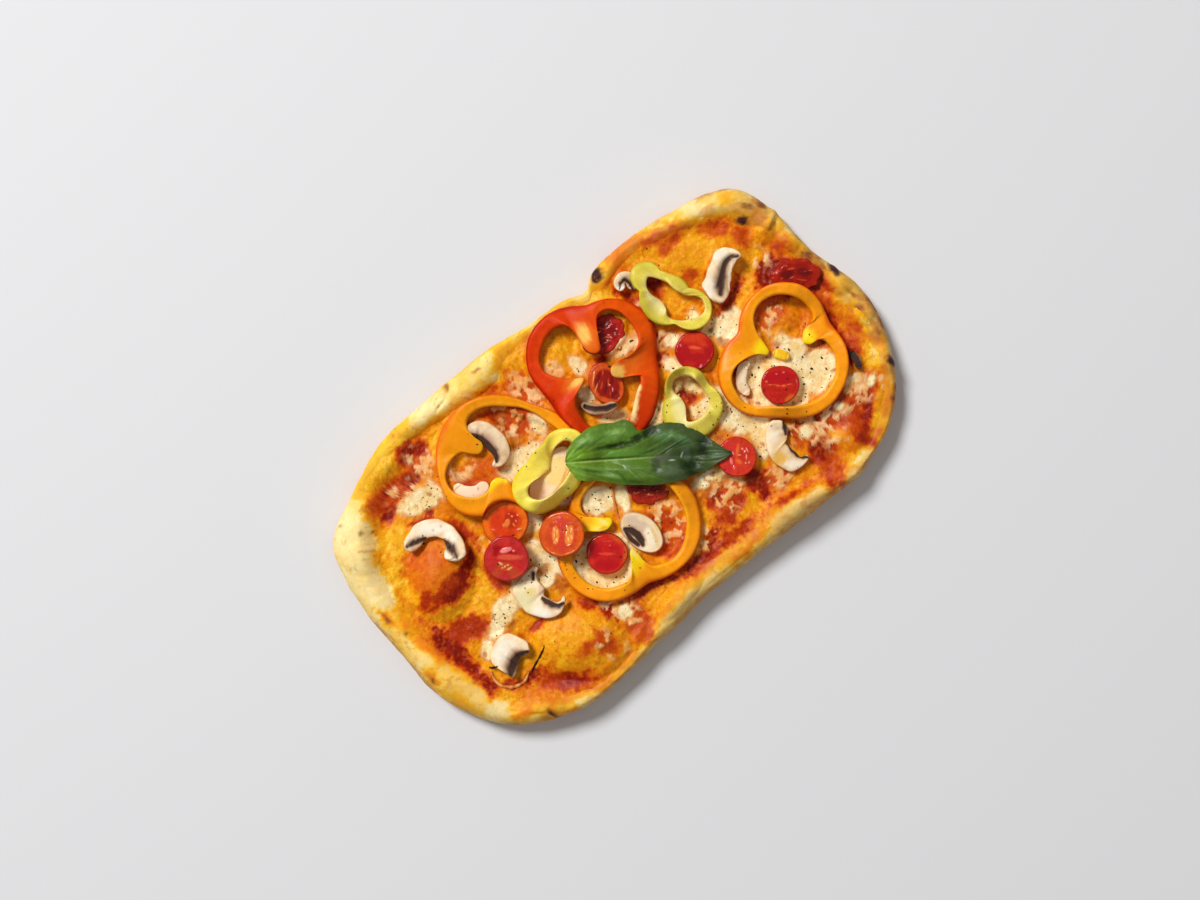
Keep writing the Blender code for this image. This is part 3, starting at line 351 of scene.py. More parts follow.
# Mushroom slices with two drawn edges: outer edge, inner edge, height, darkness of the flesh
MUSHROOM_SLICES = {
    "mushroom_1": (((92.6, 32), (93, 37), (94, 41.6), (98, 43.5), (102.5, 46.2), (107, 48.4),
        (111.5, 50.4), (116, 49.4), (119, 46.5), (120.6, 43), (121, 40.4)), ((96, 26.8),
        (100, 27.4), (104, 29.8), (107.5, 33), (110.5, 36.2), (114, 38.2), (117, 39.4),
        (120, 39.2)), 4.2, 0.0),
    "mushroom_3": (((-54.5, 66), (-50.5, 67), (-46.5, 66), (-43, 63.5), (-40.8, 60), (-39.4, 55.5),
        (-38.8, 50.5), (-39.6, 46), (-42, 41.5), (-45.5, 38.8), (-49.5, 38), (-53.5, 39.4)),
        ((-54.8, 61.8), (-53.6, 61.6), (-52, 59.6), (-50.8, 55.5), (-50.6, 50.5), (-50.6, 46),
        (-51.6, 43.8), (-54.6, 41.8)), 4.2, 0.15),
    "mushroom_4": (((-119, 39.5), (-116, 42), (-111, 44), (-106.5, 45), (-101, 43.5), (-96, 40),
        (-93, 35.5), (-91.5, 30), (-91.5, 24), (-93, 18.5), (-95.5, 15), (-99.5, 14)),
        ((-118.5, 36), (-116, 34.5), (-112.5, 34), (-109, 35), (-105, 34.5), (-102, 32.5),
        (-100.5, 30), (-100.5, 27), (-102, 24.5), (-104, 23), (-105.5, 20), (-103.5, 16.5)), 4.2,
        0.0),
    "mushroom_5": (((-74, -13), (-79.5, -13.5), (-84.5, -14), (-89, -15), (-91.5, -18),
        (-91.8, -22), (-92, -26.5), (-92, -30), (-89.5, -35), (-86, -39.5), (-82, -41.5),
        (-77.5, -42), (-74, -40.5), (-70.5, -38)), ((-71, -16), (-74.5, -18), (-76, -21.5),
        (-76, -26), (-78.5, -29), (-78, -32), (-76, -36), (-73.5, -37), (-71, -36)), 3.8, 0.0),
    "mushroom_6": (((-121.5, -47.5), (-123, -43), (-124, -38.5), (-122.5, -35), (-119, -32.5),
        (-114.5, -30.5), (-110, -31), (-106, -33), (-104, -37), (-102, -41.5), (-102.5, -44.5)),
        ((-120.5, -52), (-117, -51), (-113.5, -48.5), (-111.5, -47), (-109, -46.5), (-106.5, -47),
        (-104, -47)), 4.2, 0.0),
    "mushroom_8": (((75, -37.5), (70, -40), (66, -43.5), (63.5, -48), (62, -52.5), (62, -57.5),
        (63.5, -62), (65.5, -66), (70, -67.5), (74, -67.5), (78, -66)), ((80, -41.5), (79.5, -46.5),
        (76.5, -50), (73, -52), (73.5, -55), (74, -59), (74.5, -63), (77.5, -64)), 3.8, 0.0),
}
# Dark gills: lines of points with their half widths
MUSHROOM_GILLS = {
    "mushroom_1": (((99, 31.6, 2), (100.8, 34.4, 3.2), (104.5, 38, 3.6), (108, 40.8, 3),
        (112, 42.6, 2.2), (115.6, 43, 1.7), (118.6, 40.8, 1)),),
    "mushroom_2": (((59.5, 69, 0.4), (62, 71, 1.2), (65, 71, 1.4), (66, 68, 1.3), (65, 64, 0.9)),),
    "mushroom_3": (((-54.4, 62.6, 1), (-51.6, 60.4, 2.2), (-49.6, 56.5, 2.9), (-49, 52, 3.1),
        (-49, 47, 3), (-49.6, 43.4, 2), (-51, 41.6, 0.9)),),
    "mushroom_4": (((-117, 38.4, 1.4), (-113.5, 38, 2.2), (-110, 36.6, 2), (-107, 35.6, 1)),
        ((-101, 29.4, 1.2), (-99.8, 26, 2.4), (-99.4, 22, 2.8), (-99.8, 18.5, 2),
        (-100.4, 16.8, 1))),
    "mushroom_5": (((-80.4, -30, 1.2), (-79.8, -33, 2), (-78.4, -36.4, 2.2), (-76.4, -38.8, 1.8),
        (-73.4, -39.2, 1)), ((-75.4, -16.4, 1.4), (-77.6, -19, 1.2))),
    "mushroom_6": (((-120.6, -50, 2.4), (-117.5, -48, 3.8), (-114, -46, 4.2), (-111, -45, 3.6),
        (-108, -45.4, 2.2), (-105, -46.3, 1.2)),),
    "mushroom_7": (((-22.5, -31, 1.6), (-20.6, -33.5, 2.6), (-19.4, -37, 2.8), (-19.8, -41, 2.4),
        (-20.8, -43.5, 1.4)), ((-23, -32.5, 1.4), (-23.6, -37, 1.8), (-22.6, -42, 1.4))),
    "mushroom_8": (((79.6, -43, 1), (78, -46, 1.6), (76.4, -48.6, 1)), ((74, -54, 1.2),
        (73.8, -57.5, 1.9), (74.2, -61, 2.1), (75.4, -64, 1.6), (77, -65.6, 0.8))),
    "mushroom_11": (((4.2, 33, 1.6), (7.4, 28.6, 2.4), (12, 24.9, 2.4), (17, 23, 1.6)),),
    "mushroom_13": (((132, -38.5, 2.8), (131.5, -43, 3.2), (130, -47, 2.6)),),
}
# Marks on the mushrooms: the place that they are measured from, then as for the tomatoes
MUSHROOM_MARKS = {
    "mushroom_1": ((106, 38.1), (
        ((252, 238, 216), 0.7, 2.4, 0.1, ((-7, -6, 3, 6), (-2.3, 11, 4.6, 2.6, 20))),
        ((212, 172, 128), 0.8, 1.6, -0.1, ((2.4, -3, 1.2, 8, 8),)),
        ((255, 232, 204), 0.9, 0.9, 0.3, ((5.4, 3.1, 1, 5, 14), (4, -5, 1.1, 6, 6))))),
    "mushroom_2": ((63.6, 69), (
        ((255, 244, 232), 0.9, 0.8, 0.3, ((-1.5, -2.7, 2.6, 2.2),)),)),
    "mushroom_3": ((-46.5, 51.9), (
        ((206, 164, 142), 0.7, 1.6, 0.0, ((-8.6, 5, 3, 2, 10), (0, 0, 2, 7, 35))),
        ((196, 150, 100), 0.5, 2.4, 0.0, ((7, -9, 3, 5, 30),)),
        ((250, 222, 206), 0.9, 0.6, 0.6, ((2.0, -10.4, 0.8, 2.8, -10),)))),
    "mushroom_4": ((-103.2, 31.5), (
        ((255, 246, 232), 0.7, 2.6, 0.1, ((-1, 6, 9, 2.6, 4), (8, 2, 2.4, 5, 35))),
        # painted shadow at the slice's left end
        ((228, 172, 132), 0.85, 0.8, 0.3, ((-10.6, -4.6, 3, 1.1, 12),)),
        ((254, 232, 204), 0.95, 0.8, 0.6, ((7.4, -8.3, 3, 2, -10),)),
        ((190, 176, 140), 0.8, 0.8, 0.0, ((-1.4, 5.3, 0.7, 0.7), (3.1, 7.1, 0.8, 0.6))))),
    "mushroom_5": ((-82.7, -28.9), (
        ((255, 244, 226), 0.75, 2.4, 0.1, ((2, -7, 7, 3, -18),)),
        ((234, 222, 166), 0.8, 3.0, 0.0, ((-7, 0, 4, 8, 20),)),
        ((232, 206, 110), 0.7, 2.0, 0.0, ((-3.7, 3.9, 3, 2.4),)),
        ((222, 170, 128), 0.6, 2.0, 0.0, ((3, 5, 3, 4),)))),
    "mushroom_6": ((-113.5, -40.8), (
        ((255, 244, 226), 0.7, 2.4, 0.1, ((-3.6, 1.2, 3.5, 6.2, -20), (1, 5, 4, 2, -20))),
        ((196, 160, 130), 0.7, 2.6, -0.2, ((3.6, -0.8, 4.2, 2.8, 40), (-1, -6.7, 2, 5, -8))))),
    "mushroom_7": ((-16.7, -38), (
        ((236, 206, 142), 0.9, 1.6, 0.0, ((0, 12, 9, 2.6, -20), (7.8, 4, 1.5, 6, 20),
            (-8, 6, 2, 3, -30))),
        ((214, 186, 162), 0.8, 2.4, -0.1, ((-4, 5, 5.6, 3, -20), (1, 3, 3, 3))),
        ((252, 236, 204), 0.9, 2.0, 0.1, ((4.4, -3, 2.4, 5.6, 22), (3, -8.6, 3, 1.6, 10))),
        ((232, 200, 130), 0.8, 1.2, 0.0, ((7, -2, 1, 7, 22), (1, 11.4, 6, 1, -20))))),
    "mushroom_8": ((71.9, -54.6), (
        ((224, 186, 130), 0.7, 2.6, 0.0, ((0, 6, 7, 8), (-2, -4, 7, 6))),
        ((248, 232, 208), 0.8, 2.0, 0.1, ((-6.4, 6.6, 2.4, 3.4), (4, -9, 6, 2.2, -14),
            (-0.6, 10.6, 3, 2.4, 20))),
        ((230, 172, 60), 0.85, 2.4, -0.2, ((-3.6, -5.6, 3.6, 3.6),)),
        ((212, 168, 112), 0.8, 1.6, 0.1, ((1.6, 3.4, 3, 3),)))),
    "mushroom_9": ((-71.5, 39.6), (
        ((250, 228, 200), 0.7, 2.0, 0.1, ((0, -1, 6, 2),)),
        ((150, 120, 104), 0.6, 0.8, 0.0, ((4, 0.6, 0.5, 0.9), (1.4, -2.6, 0.6, 0.4))))),
    "mushroom_10": ((-36, 17), (
        ((248, 220, 188), 0.9, 3.0, 0.1, ((-8.4, -5.6, 6, 5),)),
        ((246, 220, 136), 0.85, 4.0, 0.0, ((5, 4, 8, 8, 40),)),
        ((206, 150, 72), 0.7, 1.6, -0.2, ((4.5, -6.5, 1, 6, -40), (9, 1.6, 1, 6, -20))))),
}
# A loose strip of pepper rib: middle line, half width, height
PEPPER_BIT = (((100, -10.8), (102.3, -14.2), (104.8, -18.2)), 2.6, 3.0)

# Half widths of the basil leaf along its length, from 0 at the stalk to 1 at the tip
LEAF_BASE = (-23.3, 16.9)
LEAF_TIP = (47.5, -36.5)
LEAF_LEFT = (
    (0.0, 1.2), (0.01, 6.2), (0.06, 12.4), (0.12, 16.2), (0.195, 19.4), (0.295, 19.9),
    (0.362, 21.1), (0.41, 19.2), (0.443, 15.2), (0.49, 15.0), (0.53, 16.8), (0.604, 17.9),
    (0.70, 17.5), (0.751, 15.6), (0.832, 11.1), (0.899, 6.6), (0.966, 2.2), (1.0, 0.5),
)
LEAF_RIGHT = (
    (0.0, 1.2), (0.01, 2.4), (0.05, 8.0), (0.094, 10), (0.188, 10.9), (0.335, 13.4), (0.43, 14.4),
    (0.53, 14.8), (0.63, 13.9), (0.70, 13.1), (0.751, 11.2), (0.832, 9.2), (0.90, 5.9),
    (0.952, 3.3), (1.0, 0.5),
)
# Marks on the leaf from its stalk, placed as the tomatoes' are; some are painted light and shade
LEAF_MARKS = (
    ((104, 150, 20), 0.8, 4.0, 0.2, ((5.3, 3.2, 4.7, 4),)),
    ((92, 134, 52), 0.6, 4.0, 1.6, ((17, 14, 14.5, 5, 8),)),
    # painted highlights on the upper lobes
    ((124, 164, 78), 0.8, 2.4, 0.5, ((10.1, 11, 5.3, 1.6, 22), (26, 16.6, 5.3, 1.6, 8))),
    ((86, 134, 40), 0.6, 3.0, 0.9, ((30, 4.8, 11.8, 2.6, 5),)),
    # painted highlights along the lower edge
    ((112, 156, 72), 0.6, 1.6, 0.4, ((13, -2.6, 8.5, 0.9, -6), (22, -6.6, 7, 1, -12),
        (9, -6.4, 5, 0.9, -14))),
    # painted shade in the creases
    ((50, 88, 24), 0.75, 1.4, -0.4, ((14.2, -4.4, 7, 0.7, -10), (31, -8.4, 4.7, 0.8, -45),
        (38, -10.6, 5, 0.9, -8), (8, 8, 4, 0.5, 40))),
    # painted shade in the fold from the notch
    ((30, 48, 14), 0.95, 2.2, -1.6, ((44, 16.6, 3.8, 2, 42), (38.4, 12.8, 4.6, 1.8, 28),
        (32, 10, 4, 1.4, 14), (24.3, 8.4, 5.3, 1.1, 10))),
    # painted shade in the creases beside the midrib
    ((52, 90, 26), 0.7, 1.6, -0.5, ((15.4, 6.8, 4.7, 0.8, 15), (20, 1.7, 9, 0.5, 3))),
    ((46, 58, 44), 0.8, 2.0, 0.0, ((46.8, 17.6, 2.6, 2.2),)),
    ((116, 132, 116), 0.85, 1.2, 0.4, ((50, 17.4, 1.6, 1.2),)),
    ((88, 128, 72), 0.7, 3.0, 1.0, ((53.3, 14, 5.3, 2.8, 20), (62, 12.6, 5, 2.4, -16))),
    # painted shade beside the side veins
    ((36, 60, 30), 0.8, 1.0, -0.5, ((56.4, 8, 8, 0.5, 32), (44, 6, 6, 0.6, 20))),
    ((120, 150, 98), 0.8, 0.6, 0.2, ((55.7, 8.9, 8.4, 0.3, 32), (35, -5, 4.1, 0.25, -45))),
    # painted sheen, a reflection
    ((104, 100, 92), 0.6, 3.0, 0.4, ((51.5, 2.4, 5.5, 2, 5),)),
    ((50, 52, 40), 0.7, 2.6, -0.6, ((48.6, -0.8, 2.6, 4),)),
    # greyer green, painted sheen
    ((86, 104, 80), 0.5, 4.0, 0.8, ((56, -3.6, 6, 3.4),)),
    ((24, 40, 20), 0.88, 4.0, -0.8, ((73.5, 9.6, 3, 6, -10), (67, -0.6, 5, 3),
        (70, -6, 5, 2, -20))),
    ((88, 108, 80), 0.8, 3.0, 0.4, ((82.3, 5, 4.7, 2.2, -10), (64.6, 5.6, 2.2, 3.4, 10))),
    # painted highlight streaks
    ((200, 212, 200), 0.8, 0.5, 0.3, ((56.6, 1.5, 1.5, 0.35, 5), (62.3, 4.6, 0.35, 1.4, -20),
        (31.4, -2.2, 1.1, 0.25, -55))),
)

# The paint of the dough and the sauce runs from pale dough to dark sauce, whose dark end also
# paints shadow. These are its colours along that way from 0 to 1
HEAT_COLOURS = (
    (0.0, (250, 228, 162)), (0.1, (248, 214, 122)), (0.2, (248, 194, 50)), (0.32, (243, 171, 20)),
    (0.45, (233, 142, 12)), (0.6, (216, 101, 8)), (0.72, (187, 60, 6)), (0.85, (150, 29, 5)),
    (1.0, (124, 19, 5)),
)
# Patches of that paint: heat, softness of the edge, and spots
HEATS = (
    (0.36, 7.0, ((-90, -55, 24, 14, -30), (-106, -7, 13, 8), (-128, 1, 8, 4), (-96, -34, 5, 3),
        (-30, -72, 14, 4.5, -5), (-72, -56, 15, 9, -20), (15, 65, 12, 9, 20), (10, -60, 10, 6),
        (43, -69, 5, 3), (88, 68, 10, 9), (110, 36, 12, 6, 35), (120, 30, 6, 8), (-141, 12, 5, 10),
        (-133, 18, 6, 10), (147, -28, 5, 10), (145, 22, 4, 9), (80, 45, 6, 12, -30),
        (115, 60, 14, 8, -20), (102, 58, 14, 11), (140, 48, 10, 6, 30), (-147, -22, 6, 4),
        (-8, 82, 9, 10), (130, -68, 7, 5, 40), (136, -40, 6, 8), (145, -45, 5, 5))),
    (0.24, 6.0, ((-105, 84, 17, 9, -5), (-117, 78, 6, 8), (-82, 87, 12, 5), (-22, 92, 16, 3),
        (-132, 30, 4, 12, -15), (-120, 44, 8, 9, 30), (-45, 77, 15, 4), (-68, 72, 8, 5, 30),
        (28, 82, 9, 3, -15), (48, 72, 7, 4, -40), (65, -57, 4, 7), (15, -78, 10, 4),
        (120, -75, 6, 5), (148, 42, 6, 5, 30), (133, 69, 7, 4, -20), (-113, -83, 4, 3),
        (87, 19, 3, 4), (-28, -20, 5, 3), (-150, -45, 5, 12, 20))),
    (0.15, 5.0, ((3, 87, 9, 3), (-35, 85, 14, 8), (42, 78, 8, 4, -35), (105, 82, 7, 3, -10),
        (113, 80, 6, 4), (142, 60, 4, 6), (139, -47, 6, 6), (150, -12, 5, 6), (-156, -5, 4, 9))),
    (0.03, 5.0, ((-60, 87, 12, 4), (-24, 76, 5, 4), (120, 75, 9, 5, -30), (102, -85, 9, 4, -5),
        (54, -84, 18, 7), (-137, -60, 6, 6, -45), (-98, -87, 7, 3), (-137, 60, 12, 15, -30),
        (-147, 37, 10, 19), (90, -87, 5, 3), (-20, -83, 22, 3))),
    (0.49, 6.0, ((-112, 12, 12, 6), (-143, -6, 5, 12), (-112, -66, 14, 7, -20), (74, 83, 14, 6),
        (120, -5, 10, 7), (98, -76, 10, 5), (140, -20, 5, 16, 10), (52, -73, 14, 3.5, -8),
        (40, -72, 8, 3), (-129, -72, 6, 4, -20), (-120, -79, 6, 3, -35), (-109, -88, 7, 2.5, -20),
        (-151, 16, 3.5, 6), (138, 36, 7, 5), (23, -81, 9, 2.5), (-84, -82, 12, 5), (133, -72, 4, 3),
        (-154, -25, 2, 5))),
    (0.6, 6.0, ((-117, 22, 14, 12, -41), (-120, 12, 9, 8), (49, 2, 6, 9), (-62, 44, 12, 8, -20))),
    (0.68, 5.0, ((-110, 65, 13, 7, -10), (-83, 73, 10, 8), (-92, 66, 9, 5), (94, 77, 11, 4, -12),
        (94, 49, 4, 4), (128, 47, 6, 6), (140, 30, 5, 6), (-52, -79, 6, 8), (-46, -70, 4, 8),
        (103, -64, 10, 4, -30), (143, -30, 2.5, 8, 20), (-79, -66, 6, 4), (-70, -70, 6, 9, 10),
        (2, -72, 14, 3), (22, -62, 6, 5), (84, -80, 5, 8), (90, -62, 6, 4), (-30, 55, 10, 14, 15),
        (-53, 70, 4, 2.5), (112, 8, 10, 9), (-8, -47, 11, 15), (-28, 72, 7, 3, -10),
        (-15, 62, 7, 12, 10), (59, 34, 5, 6), (62, 50, 4, 10), (92, -56, 14, 9), (115, -57, 17, 9),
        (30, -54, 10, 10), (60, -65, 9, 6), (85, -72, 9, 8), (110, -70, 7, 6), (138, -8, 4, 12, -5),
        (134, -34, 5, 10), (120, 60, 8, 5, -30), (97, 70, 9, 4), (146, -2, 3, 6),
        (100, 40, 6, 4, 20))),
    (0.78, 4.5, ((-122, -17, 12, 8, -20), (-100, -72, 15, 5, -35), (-93, -39.5, 6, 2.5),
        (-128, 9, 6, 4), (-116, 6, 16, 4, 8), (-90, 27, 4, 9), (-92, -6, 4, 9),
        (-36, 61, 7, 3, -40), (-57, -53, 4, 5, 30), (60, 63, 2.5, 7, 10), (57, 38, 2.5, 6),
        (107, -83, 2, 6, 20), (81, -89, 2, 5), (26, -73, 10, 3), (12, -71, 12, 2.5),
        (30, -62, 9, 3.5, 30), (24, -49, 5, 4), (143, 8, 7, 5, -30), (126, 26, 8, 4, 20),
        (107, -79, 4, 8, 25), (86, -68, 7, 7), (103, -62, 9, 2, -30), (78, -84, 3, 7, -20),
        (-72, 42, 4, 4), (58, -76, 8, 1.4, -5), (114, -52, 8, 2, 10), (-64, -47, 3, 4),
        (127, -61, 7, 2.2, 35), (75, 58, 3.5, 6))),
    # Where these darkest patches run along the edges of the rings and beside mushroom_1, they are
    # painted shadow as well as dark sauce
    (0.96, 5.5, ((-135, -27, 4, 21, 3), (-138, -14, 4, 8), (-133, -46, 4, 7, 15),
        (-124, -55, 7, 2.5, -35), (-113, -58.5, 8, 2.2, -8), (-98, -74, 5, 2, -30),
        (-115, 58, 5, 4), (-105, 68, 5, 2, 20), (-93, 65, 5, 4), (-90.5, 54, 2.6, 3.2),
        (-96, 46, 4, 2.6), (-85, 78, 5, 2.6), (-78, 75, 3.6, 2.6), (-104, 44.5, 5, 1.8, -10),
        (-113, 2, 8, 3), (-100, 10, 9, 3, 30), (-30, -63, 17, 3.2, -8), (-8, -68.5, 14, 2.8, -4),
        (8, -66, 8, 2.4, 25), (-60, -56, 2, 7, 15), (52, 26, 5, 3, -30), (48, -57, 6.5, 7),
        (47, -65, 3.6, 5), (132, 15, 17, 10, -41), (121, 22, 3, 3), (101, 26.5, 12, 2.6, 22),
        (124, -24, 2.4, 3), (84, -66, 4, 5), (118, -68, 9, 2.6, 40), (134.5, -15, 2.4, 14, -5),
        (131, -38, 3.4, 5), (90, -50, 10, 1.8, -8), (28, 46, 6, 2.4, 20), (76, -10, 2.4, 7, -20),
        (-46, -59, 7, 2, -35), (50.5, 1.6, 4, 4.6), (47.6, 9, 1.4, 2.6), (76, 60, 3, 3))),
    (0.13, 4.0, ((152, 20, 3, 5), (151.5, -12, 3.4, 6), (149, -33, 4, 5), (142, -63, 4, 3, 40),
        (156, -32, 2.6, 10), (149, 48, 4, 6, 20), (124, -80, 6, 3, 30), (128, 74, 6, 3, -30),
        (-149.5, -12, 3.4, 8, 12), (-146.5, -28, 4.4, 8, 10), (-142.5, -46, 4.4, 7, 20),
        (-125, -77, 6, 2.6, -35))),
)
# Crumbs of cheese on the sauce
CRUMBS = (
    (-68, 52, 8, 7), (-30, 52, 9, 13, 15), (-14, 60, 7, 13, 10), (-52, -66, 8, 8),
    (-2, -43, 10, 13), (-68, -72, 7, 8), (4, 60, 5, 8), (62, 50, 4, 9), (59, 34, 5, 6),
    (50, -25, 6, 6), (30, -53, 8, 9), (60, -65, 8, 6), (6, -62, 9, 6), (112, 8, 8, 7),
    (92, -56, 14, 8), (116, -55, 15, 7), (128, -58, 8, 7), (84, -50, 8, 6), (118, -24, 6, 4),
    (-82, 68, 7, 9), (-100, 63, 9, 5), (128, 33, 5, 6), (-56, -58, 5, 5), (40, -50, 6, 6),
    (96, -68, 7, 5), (103, 2, 4, 6), (-84, 12, 4, 4),
)
# Melted cheese that stayed white
WHITES = (
    (-103, -23, 15, 5.5, 22), (-85, -20, 13, 7, 10), (-121, -32, 6, 3.5, 40), (-97, 53, 13, 6, -12),
    (-86, 52, 3, 6), (-40, 34, 16, 6.5), (-21, 43, 4.5, 7), (-58, 5, 8, 6), (-66, -14, 7, 12),
    (-60, -25, 5, 12), (-72, -24, 6, 4), (-82, -20, 8, 7), (-42, -38, 17, 17),
    (-23, -10, 10, 8, -30), (-12, -17, 4, 8, -30), (-52, -65, 4, 4), (15, 53, 4.5, 6.5),
    (40, 45, 9, 4.5), (8, 37.5, 4.5, 5), (12, 19, 9, 5, -30), (54, 18, 4, 7), (63, 30, 5, 4),
    (62, -20, 9, 19, 12), (68, -38, 7, 9, -30), (51, -9, 7, 5), (55, 4, 3, 6, 10),
    (49.5, 8, 3, 2.4), (28, -39, 9, 4), (37, -43, 6, 4), (61, -47, 4, 4), (92, 15, 11, 8, 25),
    (85, 21, 6, 5), (81, 32, 4, 4), (88, -14, 13, 9), (92, -28, 19, 16), (110, -33, 14, 12),
    (106, -12, 5, 9, -20), (111, -19, 6, 6), (131, -56, 4, 3), (124, -50, 5, 3),
    (86.7, -54.5, 4, 3, 10), (109, -56, 3, 2.6), (32, 4, 9, 6), (-35, 3, 6, 4), (47, 40, 4, 5),
    (-6, 57, 3, 6),
)
# Brown patches on the cheese
TOASTED = (
    (-70, -19, 5, 2.6), (-69, -31, 5, 4.2), (104, -8, 2.5, 3), (-38, 42, 5, 2.4),
    (118, -22, 6, 2, 10), (97, -11, 6, 2), (48, -24, 3, 5), (-35, 58, 4, 3), (114, 44, 3, 2),
    (-104, -31, 6, 1.4, 10), (24, -45, 5, 2), (36, -46, 5, 2, 20),
)

# Dried herb flakes that lie on the white cheese
HERBS = (
    (59, -17), (62.5, -17), (63, -19), (50, -19), (48.3, -23.7), (52.5, -28.7), (57, -22.4),
    (67, -35.3), (62, -45.3), (58.3, -48.7), (83.7, -12.7), (89, -12), (83, -19.5), (103.7, -10.3),
    (107.5, -15.3), (106, -13.5), (110.8, -22.8), (101.7, -34.5), (103.7, -31.6), (110.4, -31.2),
    (115.4, -40.8), (108, -42.6), (94.6, -40.8), (118.3, -30.3), (116.3, -36), (-108, -24),
    (-103, -25), (-52.5, -30), (-53, -43), (-50, -48), (-46, -49), (-43, -47.5), (-54, -27),
    (-24, -8), (-18, -12), (-96, 60), (-110, 34), (-107, 37.5), (-72, -10), (-70, 6), (53.7, 17.8),
    (84, 65), (85, 76), (-44, 33), (-36, 34), (-24, 42), (14, 50), (46, 44), (28, 41), (-56, 1),
)
# Finer flakes scattered over the white cheese, and anywhere inside the rim
HERB_SCATTER = 230
HERB_STRAYS = 110
# Least and greatest size of a flake
HERB_SIZES = (1.0, 2.2)
FINE_HERB_SIZES = (0.5, 1.4)
SEED_SIZES = (2.6, 3.2)
SEEDS = ((83, 35.3), (77, 33.5), (50, 8), (46.5, 5), (39, 45), (-6, -40))
# Strands that lie on the surface: line and half width
THREADS = (
    (((-111.7, -56.6), (-106.7, -54.5), (-102, -52.8), (-97.5, -50.7), (-96.4, -49.6)), 0.55),
    (((-127, -39.5), (-125.5, -41), (-122.5, -41.8)), 0.6),
    (((-117, -77.5), (-117.2, -81), (-115.8, -84)), 0.8),
)
CURL = (((-127.5, -42), (-129, -46), (-128.6, -50.5), (-126, -54.5), (-121.5, -57.2), (-117, -57.6),
         (-112.5, -55.5)), 0.9)
SEPTUM = (((-13, -9), (-16.5, -14.5), (-19.5, -20), (-21, -24)), 0.8)

# Colours of paint. A pair is the two ends that the paint wanders between
CRUST_BROWN = (208, 132, 46)
CRUST_FRECKLE = (196, 128, 52)
UNDERSIDE = ((206, 150, 86), (150, 92, 44))
CRUMB_MIDDLE = (236, 156, 26)
UNDERSIDE_MIDDLE = (180, 120, 64)
CRUMB_COLOURS = ((252, 216, 162), (236, 166, 80))
WHITE_COLOURS = ((254, 240, 192), (240, 204, 130))
WHITE_VEIN = (228, 156, 78)
WHITE_BORDER = (216, 128, 44)
SAUCE_GRAIN = (206, 92, 22)
TOAST_COLOURS = ((214, 120, 36), (150, 70, 18))
CHAR = (64, 26, 22)
MUSHROOM_PALE = ((252, 231, 196), (238, 204, 160))
MUSHROOM_DULL = ((206, 176, 142), (156, 124, 96))
MUSHROOM_RIM = (186, 144, 92)
GILL_BORDER = (182, 140, 108)
GILL_DARK = (58, 28, 20)
PEPPER_BIT_COLOURS = ((252, 210, 40), (240, 176, 24))
LEAF_BRIGHT = ((112, 144, 26), (80, 112, 30))
LEAF_DARK = (62, 80, 38)
LEAF_VEIN = (132, 168, 84)
LEAF_SHADOW = (40, 72, 22)
LEAF_RIB = (158, 186, 96)
HERB_COLOURS = ((62, 56, 24), (30, 24, 12))
FINE_HERB_COLOURS = ((78, 66, 30), (32, 22, 12))
SEED_COLOURS = ((236, 204, 120), (214, 170, 80))
THREAD_COLOURS = ((58, 32, 20), (28, 14, 10))
CURL_COLOURS = ((232, 172, 96), (196, 108, 42))
SEPTUM_COLOURS = ((226, 150, 76), (190, 104, 44))

# Factors on red, green and blue light
# Low on the dough's side: baked crust, and partly painted shade
LOW_SIDE = (0.78, 0.48, 0.26)
# Painted light on the bare rim at the left end
PAINTED_LIGHT_END = (1.15, 1.04, 1.06)
# Rim side turned from the key lamp: partly toasted crust, partly painted shade
TOASTED_AND_SHADED_SIDE = (0.84, 0.7, 0.48)
CHEESE_FRECKLE = (0.7, 0.5, 0.4)
# Cheese beside the slices: painted shade where they meet, and oil gathered there
CHEESE_SHADE_AND_OIL_BESIDE = (0.74, 0.52, 0.45)
MUSHROOM_SKIN = (0.86, 0.74, 0.54)
BROWNER = (0.8, 0.58, 0.36)
REDDER = (0.8, 0.52, 0.45)
YELLOWER = (0.9, 0.9, 0.6)

# How far light spreads inside: red, green and blue, and their scale in metres
SUBSURFACE_RADIUS = (1.0, 0.35, 0.15)
SUBSURFACE_SCALE = 0.002
